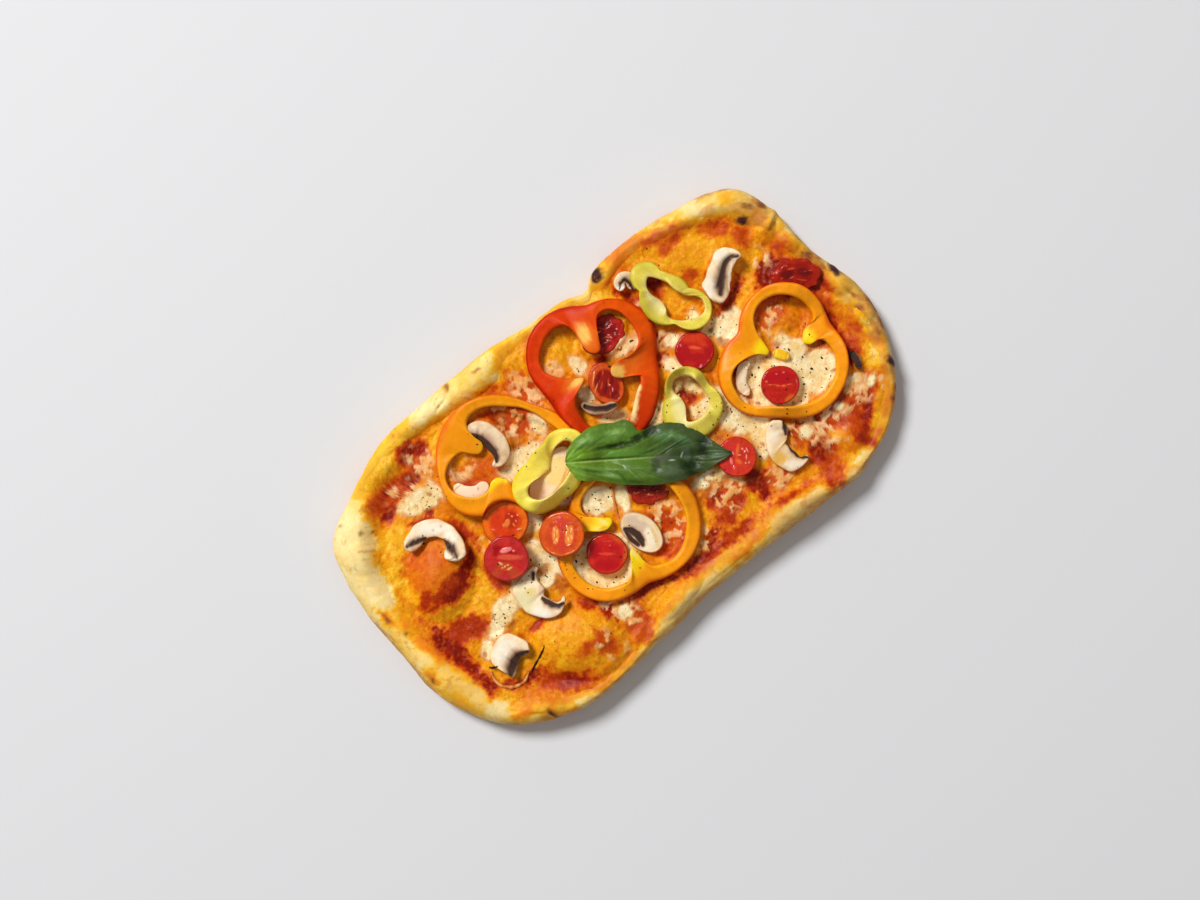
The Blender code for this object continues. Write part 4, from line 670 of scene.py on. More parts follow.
# Materials by slot: name, mottling (size in mm, strength), darker patches (size in mm, strength,
# factors), two layers of bumps (size and depth in mm), roughness where dry and where wet,
# subsurface and specular
MATERIALS = {
    "baked_dough": ("crust", (1.6, 0.06), (4.0, 0.25, (0.86, 0.7, 0.5)), ((0.9, 0.12), (3.0, 0.25)),
        0.75, 0.35, 0.05, 0.25),
    "melted_topping": ("cheese", (0.8, 0.12), (1.5, 0.5, BROWNER), ((0.7, 0.14), (1.8, 0.3)),
        0.55, 0.22, 0.06, 0.14),
    "pepper_orange": ("orange_flesh", (1.2, 0.04), (3.0, 0.15, REDDER), ((1.0, 0.05), (3.0, 0.12)),
        0.5, 0.28, 0.08, 0.2),
    "pepper_red": ("red_flesh", (1.2, 0.05), (3.0, 0.25, REDDER), ((1.0, 0.05), (3.0, 0.12)),
        0.5, 0.32, 0.06, 0.08),
    "chilli_green": ("green_flesh", (1.0, 0.05), (2.5, 0.2, YELLOWER), ((0.9, 0.06), (2.6, 0.12)),
        0.5, 0.28, 0.15, 0.22),
    "chilli_yellow": ("yellow_flesh", (1.0, 0.05), (2.5, 0.2, (0.95, 0.85, 0.6)),
        ((0.9, 0.06), (2.6, 0.12)), 0.5, 0.28, 0.15, 0.22),
    "tomato": ("tomato_flesh", (0.8, 0.1), (1.4, 0.3, REDDER), ((0.7, 0.07), (2.0, 0.14)),
        0.35, 0.08, 0.08, 0.28),
    "mushroom": ("mushroom_flesh", (0.7, 0.04), (1.8, 0.15, (0.9, 0.8, 0.68)),
        ((0.5, 0.05), (2.2, 0.12)), 0.7, 0.35, 0.12, 0.2),
    "basil": ("basil_green", (0.9, 0.12), (1.6, 0.25, (0.7, 0.75, 0.6)), ((0.6, 0.05), (2.0, 0.14)),
        0.55, 0.3, 0.03, 0.25),
}
# Sockets of a node that mixes two vectors
MIX_AMOUNT = 0
MIX_FIRST = 4
MIX_SECOND = 5
MIX_RESULT = 1

# Places that are burnt black
CHARRED = (
    (56, 82.5, 4.6, 3.4, 20), (154.4, 1.4, 2.6, 4.2, -10), (145.6, -56.5, 2.4, 3.8, 20),
    (133, 54, 2.6, 3.8, 30), (-117, -81.5, 0.9, 3.2, 4),
)
# Marks of the dough: two colours, softness, raggedness, strength and spots
DOUGH_MARKS = (
    (((206, 138, 60), (176, 104, 40)), 4.0, 2.0, 0.75, ((-160, 14, 3.5, 8),
        (-124, -82, 12, 2.6, -25), (-80, -91, 26, 2.6), (134, -73, 7, 3, 40), (146, -60, 5, 5, 40),
        (153, -40, 3, 8, 15), (156, 2, 4, 7), (134, 76, 12, 2.4, -25), (-138, -74, 10, 2.4, -40),
        (154, 30, 2.4, 12), (84, -92, 10, 2.4), (40, -91, 44, 3), (-20, -89, 36, 3),
        (-160, -20, 2.5, 30), (105, -91, 20, 3, 10), (158, -32, 3, 14), (-70, -92, 20, 2.4),
        (153, 30, 3, 6), (142, 50, 7, 4, 30), (147, 56, 3, 5), (150, -24, 3.4, 3), (148, -40, 3, 4),
        (151, 14, 3, 5))),
    (((168, 98, 36), (118, 60, 24)), 2.6, 1.2, 0.95, ((148, 53.7, 2, 3, 20),
        (147.5, 17, 2.4, 3.4, 10), (150.8, -23.7, 2.4, 2), (159, -27, 1.8, 6), (150, -39.5, 1.6, 2),
        (134, -72, 2.4, 1.6, 40), (-138, 70, 1.1, 1), (-131, 60, 1, 0.8), (-127, 56, 0.9, 0.7),
        (-149, 3, 1, 1), (141, 58, 3, 1.6, -50), (151, 8, 1.4, 4), (156, -38, 1.6, 4),
        (153, -14, 1.4, 4, 10), (139, -68, 2, 1.2, 45), (-151, 17, 1.2, 3), (-154, -26, 0.9, 2),
        (109, 64, 1, 1), (85, 65, 1.2, 1), (-27, 86, 2, 0.6, -10), (-46, 90, 1, 0.8),
        (-84, 89, 1.4, 0.6, -30))),
    (((86, 36, 28), (36, 12, 16)), 2.0, 1.4, 1.0, CHARRED),
)
# Folds and cracks in the dough: ends, width, height, negative where it goes in
FOLDS = (
    ((-58, 83.5), (-50, 85.5), 1.0, -1.1), ((-50, 85.5), (-46, 89), 1.0, -1.1),
    ((151.7, 47), (135, 38.7), 2.2, 1.5), ((150, 43.5), (136, 36.5), 1.6, -1.3),
    ((36, -73), (36.5, -86), 1.4, -1.2), ((33, -74), (33, -84), 2.2, 0.6),
    ((-128, -72), (-118, -80), 1.6, -0.7), ((128, 72), (140, 68), 1.4, -0.5),
    ((-150, 22), (-148, 10), 1.6, -0.6), ((147, -16), (149, -34), 1.6, -0.8),
    ((138, -50), (126, -66), 1.8, -0.7), ((20, -84), (-10, -83), 1.2, -0.4),
)


def smoothstep(value):
    """Smooth rise from 0 to 1."""
    value = np.clip(value, 0.0, 1.0)
    return value * value * (3.0 - 2.0 * value)


def value_noise(x, y, cell, seed):
    """Smooth noise from -1 to 1 whose bumps are about one cell wide."""
    table = np.random.default_rng(seed).uniform(-1.0, 1.0, (64, 64))
    u = np.asarray(x, float) / cell
    v = np.asarray(y, float) / cell
    column = np.floor(u).astype(int)
    row = np.floor(v).astype(int)
    across = smoothstep(u - column)
    along = smoothstep(v - row)
    near = table[row % 64, column % 64] * (1 - across) + table[row % 64, (column + 1) % 64] * across
    far = (table[(row + 1) % 64, column % 64] * (1 - across)
           + table[(row + 1) % 64, (column + 1) % 64] * across)
    return near * (1 - along) + far * along


def layered_noise(x, y, cell, octaves, seed):
    """Noise with finer and finer detail, each layer turned so that no grid shows."""
    total = 0.0
    weight = 1.0
    whole = 0.0
    for octave in range(octaves):
        turn = 0.6 + 0.9 * octave
        u = x * math.cos(turn) - y * math.sin(turn)
        v = x * math.sin(turn) + y * math.cos(turn)
        total = total + weight * value_noise(u + 31 * octave, v - 17 * octave, cell, seed + octave)
        whole += weight
        weight *= 0.6
        cell /= 2.1
    return total / whole


def spline(points, steps, closed):
    """Points along a smooth curve through the given ones."""
    points = np.asarray(points, float)
    if closed:
        padded = np.vstack([points[-1:], points, points[:2]])
    else:
        padded = np.vstack([2 * points[:1] - points[1:2], points, 2 * points[-1:] - points[-2:-1]])
    share = np.linspace(0.0, 1.0, steps, endpoint=False)[:, None]
    pieces = []
    for a, b, c, d in zip(padded, padded[1:], padded[2:], padded[3:]):
        pieces.append(0.5 * (2 * b + (c - a) * share + (2 * a - 5 * b + 4 * c - d) * share ** 2
                             + (3 * b - a - 3 * c + d) * share ** 3))
    if not closed:
        pieces.append(points[-1:])
    return np.vstack(pieces)


def resample(curve, count, closed):
    """The curve again, as points an equal distance apart."""
    if closed:
        curve = np.vstack([curve, curve[:1]])
    steps = np.hypot(*np.diff(curve, axis=0).T)
    travelled = np.concatenate([[0.0], np.cumsum(steps)])
    wanted = np.linspace(0.0, travelled[-1], count, endpoint=not closed)
    return np.stack([np.interp(wanted, travelled, curve[:, axis]) for axis in (0, 1)], axis=1)


def left_normals(curve, closed):
    """Unit vectors to the left of the direction of travel."""
    if closed:
        ahead = np.roll(curve, -1, axis=0) - np.roll(curve, 1, axis=0)
    else:
        ahead = np.gradient(curve, axis=0)
    ahead = ahead / np.hypot(ahead[:, 0], ahead[:, 1])[:, None]
    return np.stack([-ahead[:, 1], ahead[:, 0]], axis=1)


def outer_edge():
    """The dough's outer edge as a curve that fills its length and width, and its polar form."""
    curve = spline(OUTLINE, CURVE_STEPS, True)
    low = curve.min(axis=0)
    high = curve.max(axis=0)
    curve = (curve - (low + high) / 2) * np.array([LENGTH, WIDTH]) / (high - low)
    bearing = np.arctan2(curve[:, 1], curve[:, 0])
    order = np.argsort(bearing)
    return curve, bearing[order], np.hypot(curve[:, 0], curve[:, 1])[order]


EDGE_CURVE, EDGE_BEARING, EDGE_RADIUS = outer_edge()
RIM_TABLE = spline(RIM_WIDTHS + ((180, 14),), CURVE_STEPS, False)


def edge_radius(bearing):
    """Distance from the centre to the outer edge."""
    return np.interp(bearing, EDGE_BEARING, EDGE_RADIUS, period=2 * math.pi)


def topping_radius(bearing):
    """Distance from the centre to the edge of the topping."""
    rim = np.interp(np.degrees(bearing), RIM_TABLE[:, 0], RIM_TABLE[:, 1])
    return edge_radius(bearing) - np.maximum(rim, 2.0)


def turned(x, y, turn=0):
    """A place measured along a bearing, in degrees, and to the left of it."""
    cosine = math.cos(math.radians(turn))
    sine = math.sin(math.radians(turn))
    return x * cosine + y * sine, y * cosine - x * sine


def off_line(x, y, start, end):
    """For each place the nearest share of the way along a line, and the distance to it."""
    way_x = end[0] - start[0]
    way_y = end[1] - start[1]
    share = ((x - start[0]) * way_x + (y - start[1]) * way_y) / (way_x ** 2 + way_y ** 2)
    share = np.clip(share, 0, 1)
    return share, np.hypot(x - start[0] - share * way_x, y - start[1] - share * way_y)


def dome(x, y, spot):
    """A rounded hill over an ellipse: 1 in its middle, 0 at its foot."""
    at_x, at_y, long_radius, short_radius, *turn = spot
    along, across = turned(x - at_x, y - at_y, *turn)
    return np.clip(1 - (along / long_radius) ** 2 - (across / short_radius) ** 2, 0.0, 1.0)


def dough_height(x, y):
    """Height of the dough's upper side, bare rim and blisters included."""
    bearing = np.arctan2(y, x)
    radius = np.hypot(x, y)
    outer = edge_radius(bearing)
    inner = topping_radius(bearing)
    width = outer - inner
    crest_at = inner + CREST_PLACE * width
    crest = (CREST_LOW + CREST_GAIN * width
             + RIM_SWELL * value_noise(np.cos(bearing) * 100, np.sin(bearing) * 100, 28, SEED))
    rise = smoothstep((radius - crest_at + CLIMB) / CLIMB)
    height = CRUMB_HEIGHT + (crest - CRUMB_HEIGHT) * rise
    height = height + (1 - rise) * value_noise(x, y, 22, SEED + 1)
    fall = np.clip((radius - crest_at) / np.maximum(outer - crest_at, 0.1), 0.0, 1.0)
    height = RIM_SIDE + (height - RIM_SIDE) * (1 - fall ** 2.2) ** 0.6
    for *spot, rise_by in BUBBLES:
        height = height + rise_by * dome(x, y, spot) ** DOME_POWER * (1 - fall ** 2)
    return height


def linear(colour):
    """A colour as light, from the way that the eye sees it."""
    share = np.asarray(colour, float) / 255
    return np.where(share <= 0.04045, share / 12.92, ((share + 0.055) / 1.055) ** 2.4)


def blend(under, over, amount):
    """One number over another, by an amount from 0 to 1 at each point."""
    return under * (1 - amount) + over * amount


def mix(under, over, amount):
    """One colour over another, by an amount from 0 to 1 at each point."""
    return blend(under, over, np.asarray(amount)[..., None])


def between(colours, amount):
    """The light between two colours, by an amount from 0 to 1 at each point."""
    return mix(linear(colours[0]), linear(colours[1]), amount)


def dyed(tint, factors, amount):
    """The paint with its channels scaled, by an amount from 0 to 1 at each point."""
    return mix(tint, tint * np.array(factors), amount)


def squared(wave, power):
    """A wave from -1 to 1 with its rounds flattened."""
    return np.sign(wave) * np.abs(wave) ** power


def spots_cover(x, y, spots, softness, ragged, seed, grain=0.55):
    """How much ragged spots cover each place, from 0 to 1."""
    shift_x = x + ragged * layered_noise(x, y, 9, 3, seed)
    shift_y = y + ragged * layered_noise(x, y, 9, 3, seed + 40)
    inside = np.full(np.shape(x), -9.0)
    for at_x, at_y, long_radius, short_radius, *turn in spots:
        along, across = turned(shift_x - at_x, shift_y - at_y, *turn)
        depth = 1 - np.hypot(along / long_radius, across / short_radius)
        inside = np.maximum(inside, depth * min(long_radius, short_radius))
    return smoothstep(0.5 + inside / softness + grain * layered_noise(x, y, 2.6, 3, seed + 80))


def grid_faces(rows, columns, wrap_rows=False, wrap_columns=False):
    """Quads between neighbours on a grid of points numbered row by row."""
    row, column = np.meshgrid(np.arange(rows - (not wrap_rows)),
                              np.arange(columns - (not wrap_columns)), indexing="ij")
    below = (row + 1) % rows
    right = (column + 1) % columns
    corners = (row * columns + column, row * columns + right,
               below * columns + right, below * columns + column)
    return np.stack(corners, axis=-1).reshape(-1, 4).tolist()


def closed_faces(rows, columns):
    """Faces of a grid that wraps round, closed at each end by a fan to a point added for it."""
    faces = grid_faces(rows, columns, wrap_columns=True)
    centre = rows * columns
    last = centre - columns
    for step in range(columns):
        after = (step + 1) % columns
        faces.append((centre, after, step))
        faces.append((last + step, last + after, centre + 1))
    return faces


def outward(points, faces):
    """The faces, turned round if most of them look inwards or down."""
    flux = 0.0
    for size in (3, 4):
        chosen = np.array([face for face in faces if len(face) == size])
        if len(chosen):
            corners = points[chosen]
            normal = np.cross(corners[:, 1] - corners[:, 0], corners[:, 2] - corners[:, 0])
            middle = corners.mean(axis=1) - points.mean(axis=0) * [1, 1, 0]
            flux += (normal * middle).sum()
    return faces if flux > 0 else [face[::-1] for face in faces]


def add_object(name, data):
    """A new object in the scene."""
    added = bpy.data.objects.new(name, data)
    bpy.context.scene.collection.objects.link(added)
    return added


def write_piece(name, points, faces, tint, wet, material, replaced=()):
    """A smooth mesh object from points in millimetres, painted point by point."""
    points = np.asarray(points, float).reshape(-1, 3)
    mesh = bpy.data.meshes.new(name)
    mesh.from_pydata((points * MM).tolist(), [], outward(points, list(faces)))
    mesh.shade_smooth()
    colour = mesh.color_attributes.new("tint", "FLOAT_COLOR", "POINT")
    rgba = np.ones((len(points), 4))
    rgba[:, :3] = np.clip(np.asarray(tint).reshape(-1, 3), 0.0, 1.0)
    colour.data.foreach_set("color", rgba.astype(np.float32).ravel())
    wetness = mesh.attributes.new("wet", "FLOAT", "POINT")
    spread = np.broadcast_to(np.asarray(wet, float).ravel(), (len(points),))
    wetness.data.foreach_set("value", np.clip(spread, 0.0, 1.0).astype(np.float32))
    mesh.materials.append(material)
    mesh.update()
    piece = add_object(name, mesh)
    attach(piece, "root")
    if replaced:
        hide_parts(*replaced)
    return piece


class Solid:
    """Heights of a solid of the frame, or of a finished piece, in millimetres."""

    def __init__(self, mesh):
        points = np.empty(len(mesh.vertices) * 3)
        mesh.vertices.foreach_get("co", points)
        self.points = points.reshape(-1, 3) / MM
        faces = [tuple(face.vertices) for face in mesh.polygons]
        self.tree = BVHTree.FromPolygons(self.points.tolist(), faces)
        self.low = self.points.min(axis=0)
        self.high = self.points.max(axis=0)

    def heights(self, x, y, above):
        """Top or underside of the solid at each place, nan beside it."""
        start = 300.0 if above else -300.0
        way = Vector((0, 0, -1 if above else 1))
        found = [self.tree.ray_cast(Vector((a, b, start)), way)[0]
                 for a, b in zip(np.ravel(x), np.ravel(y))]
        found = np.array([math.nan if hit is None else hit.z for hit in found])
        return found.reshape(np.shape(x))


def node_solid(name):
    return Solid(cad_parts[name].data)


def fill_line(values, closed):
    """The values with each gap bridged by its neighbours."""
    known = ~np.isnan(values)
    where = np.arange(len(values))
    if not known.any():
        raise RuntimeError("no height found along a line")
    period = len(values) if closed else None
    return np.interp(where, where[known], values[known], period=period)


def soften_line(values, reach, closed):
    """The values, each averaged with its neighbours along the line."""
    padded = np.pad(values, reach, mode="wrap" if closed else "edge")
    window = np.hanning(2 * reach + 3)[1:-1]
    return np.convolve(padded, window / window.sum(), mode="valid")


def with_height(plan, z):
    """A grid of points from their places in plan and their heights."""
    return np.concatenate([plan, z[..., None]], axis=2)


def displaced(points, amount, wrap):
    """A grid of points moved along its own normals; its columns may close into a loop."""
    along = np.gradient(points, axis=0)
    if wrap:
        across = np.roll(points, -1, axis=1) - np.roll(points, 1, axis=1)
    else:
        across = np.gradient(points, axis=1)
    normal = np.cross(along, across)
    normal /= np.maximum(np.linalg.norm(normal, axis=2, keepdims=True), 1e-9)
    return points + normal * amount[..., None]


# Materials

def surface_material(name, mottle, deep, bumps, dry, wet, subsurface, specular):
    """Takes its colour from the paint, broken up by mottling, with fine bumps and uneven gloss."""
    material = bpy.data.materials.new(name)
    material.use_nodes = True
    nodes = material.node_tree.nodes
    links = material.node_tree.links
    shader = nodes["Principled BSDF"]

    def add(kind, output, inputs=(), **settings):
        """One output of a new node, whose inputs are values or the sockets they are linked to."""
        node = nodes.new("ShaderNode" + kind)
        for key, value in settings.items():
            setattr(node, key, value)
        for key, value in inputs:
            if isinstance(value, bpy.types.NodeSocket):
                links.new(value, node.inputs[key])
            else:
                node.inputs[key].default_value = value
        return node.outputs[output]

    place = add("TexCoord", "Object")

    def noise(size, detail):
        return add("TexNoise", "Fac", (("Scale", 1 / (size * MM)), ("Detail", detail),
                                       ("Roughness", 0.6), ("Vector", place)))

    def remap(value, low, high, to_low, to_high):
        return add("MapRange", "Result", (("Value", value), ("From Min", low), ("From Max", high),
                                          ("To Min", to_low), ("To Max", to_high)))

    def combine(operation, first, second):
        return add("Math", "Value", ((0, first), (1, second)), operation=operation)

    paint = add("Attribute", "Color", attribute_name="tint")
    size, strength = mottle
    mottling = remap(noise(size, 5.0), 0.3, 0.7, 1 - strength, 1 + strength)
    scaled = add("VectorMath", "Vector", ((0, paint), ("Scale", mottling)), operation="SCALE")
    size, strength, factors = deep
    darker = add("VectorMath", "Vector", ((0, scaled), (1, factors)), operation="MULTIPLY")
    patches = remap(noise(size, 4.0), 0.5, 0.66, 0.0, strength)
    inputs = ((MIX_AMOUNT, patches), (MIX_FIRST, scaled), (MIX_SECOND, darker))
    links.new(add("Mix", MIX_RESULT, inputs, data_type="VECTOR"), shader.inputs["Base Color"])
    gloss = remap(add("Attribute", "Fac", attribute_name="wet"), 0.0, 1.0, dry, wet)
    uneven = remap(noise(2.2 * size, 3.0), 0.3, 0.7, -0.07, 0.07)
    links.new(combine("ADD", gloss, uneven), shader.inputs["Roughness"])
    layers = [combine("MULTIPLY", noise(size, 4.0), depth * MM) for size, depth in bumps]
    relief = add("Bump", "Normal", (("Distance", 1.0), ("Height", combine("ADD", *layers))))
    links.new(relief, shader.inputs["Normal"])
    shader.inputs["Subsurface Weight"].default_value = subsurface
    shader.inputs["Subsurface Radius"].default_value = SUBSURFACE_RADIUS
    shader.inputs["Subsurface Scale"].default_value = SUBSURFACE_SCALE
    shader.inputs["Specular IOR Level"].default_value = specular
    return material


# The cheese rises to meet what lies on it

class CheeseMap:
    """Square maps of how far the cheese rises under the slices and how near they are."""

    def __init__(self):
        self.columns = np.arange(-LENGTH / 2, LENGTH / 2 + MAP_STEP, MAP_STEP)
        self.rows = np.arange(-WIDTH / 2, WIDTH / 2 + MAP_STEP, MAP_STEP)
        x, y = np.meshgrid(self.columns, self.rows)
        under = np.full(x.shape, 999.0)
        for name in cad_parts:
            if name in ("dough", "melted_topping", "basil_leaf"):
                continue
            solid = node_solid(name)
            first, last = np.searchsorted(self.columns, (solid.low[0], solid.high[0]))
            low, high = np.searchsorted(self.rows, (solid.low[1], solid.high[1]))
            window = (slice(low, high), slice(first, last))
            under[window] = np.fmin(under[window], solid.heights(x[window], y[window], False))
        gap = under - (dough_height(x, y) + GAP + TOPPING)
        covered = under < 900
        rise = np.where(covered, np.clip(gap + 0.9, 0.0, 2.6), 0.0)
        self.rise = self.spread(rise)
        self.near = self.spread(covered.astype(float))

    @staticmethod
    def spread(grid):
        """The map grown by one step each way, then softened."""
        grid = np.maximum.reduce([grid] + [np.roll(grid, step, axis=axis)
                                           for step in (-1, 1) for axis in (0, 1)])
        for axis in (0, 1, 0, 1):
            grid = sum(np.roll(grid, step, axis=axis) for step in (-1, 0, 1)) / 3
        return grid

    def sample(self, grid, x, y):
        """Smooth value between the four map points round each place."""
        u = np.clip((x - self.columns[0]) / MAP_STEP, 0, len(self.columns) - 1.001)
        v = np.clip((y - self.rows[0]) / MAP_STEP, 0, len(self.rows) - 1.001)
        column = u.astype(int)
        row = v.astype(int)
        across = u - column
        along = v - row
        near = grid[row, column] * (1 - across) + grid[row, column + 1] * across
        far = grid[row + 1, column] * (1 - across) + grid[row + 1, column + 1] * across
        return near * (1 - along) + far * along


# Dough

def heat_colour(heat):
    """The paint for each heat from 0 to 1."""
    places = [place for place, colour in HEAT_COLOURS]
    colours = np.array([linear(colour) for place, colour in HEAT_COLOURS])
    return np.stack([np.interp(heat, places, colours[:, channel]) for channel in range(3)], axis=-1)


def heat_at(x, y, inside):
    """Heat of the paint: low on bare dough, middling on golden cheese, high where sauce shows.

    inside is the distance in from the topping's edge, negative on the bare rim."""
    tone = layered_noise(x, y, 12, 4, SEED + 61)
    heat = 0.42 + 0.2 * tone
    bare = smoothstep((2.0 - inside + 3.0 * layered_noise(x, y, 7, 3, SEED + 62)) / 8)
    heat = blend(heat, 0.09 + 0.1 * tone, bare)
    # High heat is dark sauce; some of the darkest patches are painted shadow beside the rings as well
    for number, (target, softness, spots) in enumerate(HEATS):
        cover = spots_cover(x, y, spots, softness, 2.2, SEED + 11 * number + 100)
        heat = blend(heat, target + 0.05 * tone, cover)
    return heat


def fold_relief(x, y):
    """Heights of the dough's folds and cracks."""
    relief = np.zeros(np.shape(x))
    for start, end, width, height in FOLDS:
        share, off = off_line(x, y, start, end)
        relief = relief + height * np.exp(-(off / width) ** 2) * (1 - 0.6 * np.abs(2 * share - 1) ** 3)
    return relief


def make_dough(material):
    edge = resample(EDGE_CURVE, DOUGH_AROUND, True)
    bearing = np.arctan2(edge[:, 1], edge[:, 0])
    outer = edge_radius(bearing)
    inner = topping_radius(bearing)
    radii = [inner * share for share in np.linspace(0.1, 0.86, 7)]
    radii += [inner - step for step in (8, 6, 4, 2.5, 1.2)]
    steps = 1 - (1 - np.linspace(0.0, 1.0, 46)) ** 2
    radii += [inner + (outer - inner) * step for step in steps]
    top_count = len(radii)
    slope = np.radians(np.linspace(0, 90, 16)[1:])
    radii += [outer - FOOT_INSET * (1 - math.cos(angle)) for angle in slope]
    radii += [(outer - FOOT_INSET) * share for share in (0.985, 0.95, 0.85, 0.7, 0.5, 0.3, 0.1)]
    radii = np.array(radii)
    x = radii * np.cos(bearing)
    y = radii * np.sin(bearing)
    z = dough_height(x, y)
    z[top_count:] = 0.0
    z[top_count:top_count + len(slope)] = (RIM_SIDE * (1 - np.sin(slope)))[:, None]
    points = np.stack([x, y, z], axis=2)
    u = x + 0.8 * z
    v = y - 0.6 * z
    lumps = layered_noise(u, v, 17, 2, SEED + 20)
    wrinkles = layered_noise(u, v, 5.5, 3, SEED + 21)
    pores = np.clip(layered_noise(u, v, 1.7, 2, SEED + 22) - 0.35, 0, 1)
    flat = smoothstep((z - 0.2) / 3)
    inside = inner - radii
    bare = smoothstep((2.0 - inside) / 4)
    relief = flat * (0.75 * lumps + 0.28 * wrinkles - 0.5 * pores + bare * fold_relief(x, y))
    for spot in CHARRED:
        relief = relief + 0.8 * dome(x, y, spot) * flat
    covered = smoothstep((inside - 1.5) / 5)
    relief = relief * (1 - 0.85 * covered) - 0.6 * covered * flat
    points = displaced(points, relief, True)
    points[..., 2] = np.maximum(points[..., 2], 0.0)

    tone = layered_noise(u, v, 13, 4, SEED + 23)
    heat = heat_at(x, y, inside)
    tint = heat_colour(np.clip(heat + 0.07 * wrinkles, 0, 1))
    # Low on the side the crust is painted darker and browner: baked crust, and partly painted shade
    # towards the floor
    low_side = smoothstep((11.5 - z + 2.0 * tone) / 8)
    tint = dyed(tint, LOW_SIDE, 0.9 * low_side)
    # Painted light: the inner slope of the bare rim at the left end is painted paler, against the shade
    # on it
    away = smoothstep((-x - 118) / 14) * smoothstep((inside + 14) / 10)
    tint = mix(tint, np.minimum(tint * np.array(PAINTED_LIGHT_END), 1.0), away)
    # The rim's side that faces away from the key lamp is painted browner and darker: partly toasted
    # crust, partly painted shade
    toast_and_shade = (0.5 + 0.5 * np.cos(bearing + math.radians(60))) * smoothstep((z - 2) / 4)
    tint = dyed(tint, TOASTED_AND_SHADED_SIDE, toast_and_shade * (0.9 + 0.5 * tone))
    top = smoothstep((z - 2.0) / 4)
    browned = smoothstep((layered_noise(u, v, 9, 3, SEED + 28) - 0.02) / 0.3)
    browned = browned * bare * (0.25 + 0.75 * smoothstep((x - 10) / 100))
    tint = mix(tint, linear(CRUST_BROWN), 0.55 * browned)
    for number, (colours, softness, ragged, strength, spots) in enumerate(DOUGH_MARKS):
        cover = spots_cover(x, y, spots, softness, ragged, SEED + 30 + number)
        shade = smoothstep(0.5 + 0.8 * layered_noise(u, v, 4, 3, SEED + 40 + number))
        cover = cover * smoothstep((z - 3.0) / 9) * strength
        tint = mix(tint, between(colours, shade), cover)
    freckle = smoothstep((layered_noise(u, v, 3.2, 3, SEED + 27) - 0.42) / 0.14)
    tint = mix(tint, linear(CRUST_FRECKLE), 0.5 * freckle * top)
    baked = smoothstep(0.45 + 0.9 * layered_noise(x, y, 20, 4, SEED + 25))
    tint = mix(tint, between(UNDERSIDE, baked), smoothstep((2.2 - z) / 2.2))
    tint = tint * (1 + 0.06 * layered_noise(u, v, 2.0, 2, SEED + 26))[..., None]
    wet = 0.1 + 0.7 * smoothstep((heat - 0.15) / 0.5) * top
    points = np.vstack([points.reshape(-1, 3), [[0, 0, CRUMB_HEIGHT], [0, 0, 0]]])
    tint = np.vstack([tint.reshape(-1, 3), [linear(CRUMB_MIDDLE), linear(UNDERSIDE_MIDDLE)]])
    wet = np.append(wet.ravel(), [0.2, 0.0])
    write_piece("baked_dough", points, closed_faces(len(radii), DOUGH_AROUND), tint, wet, material,
                ("dough",))


# Sauce and cheese

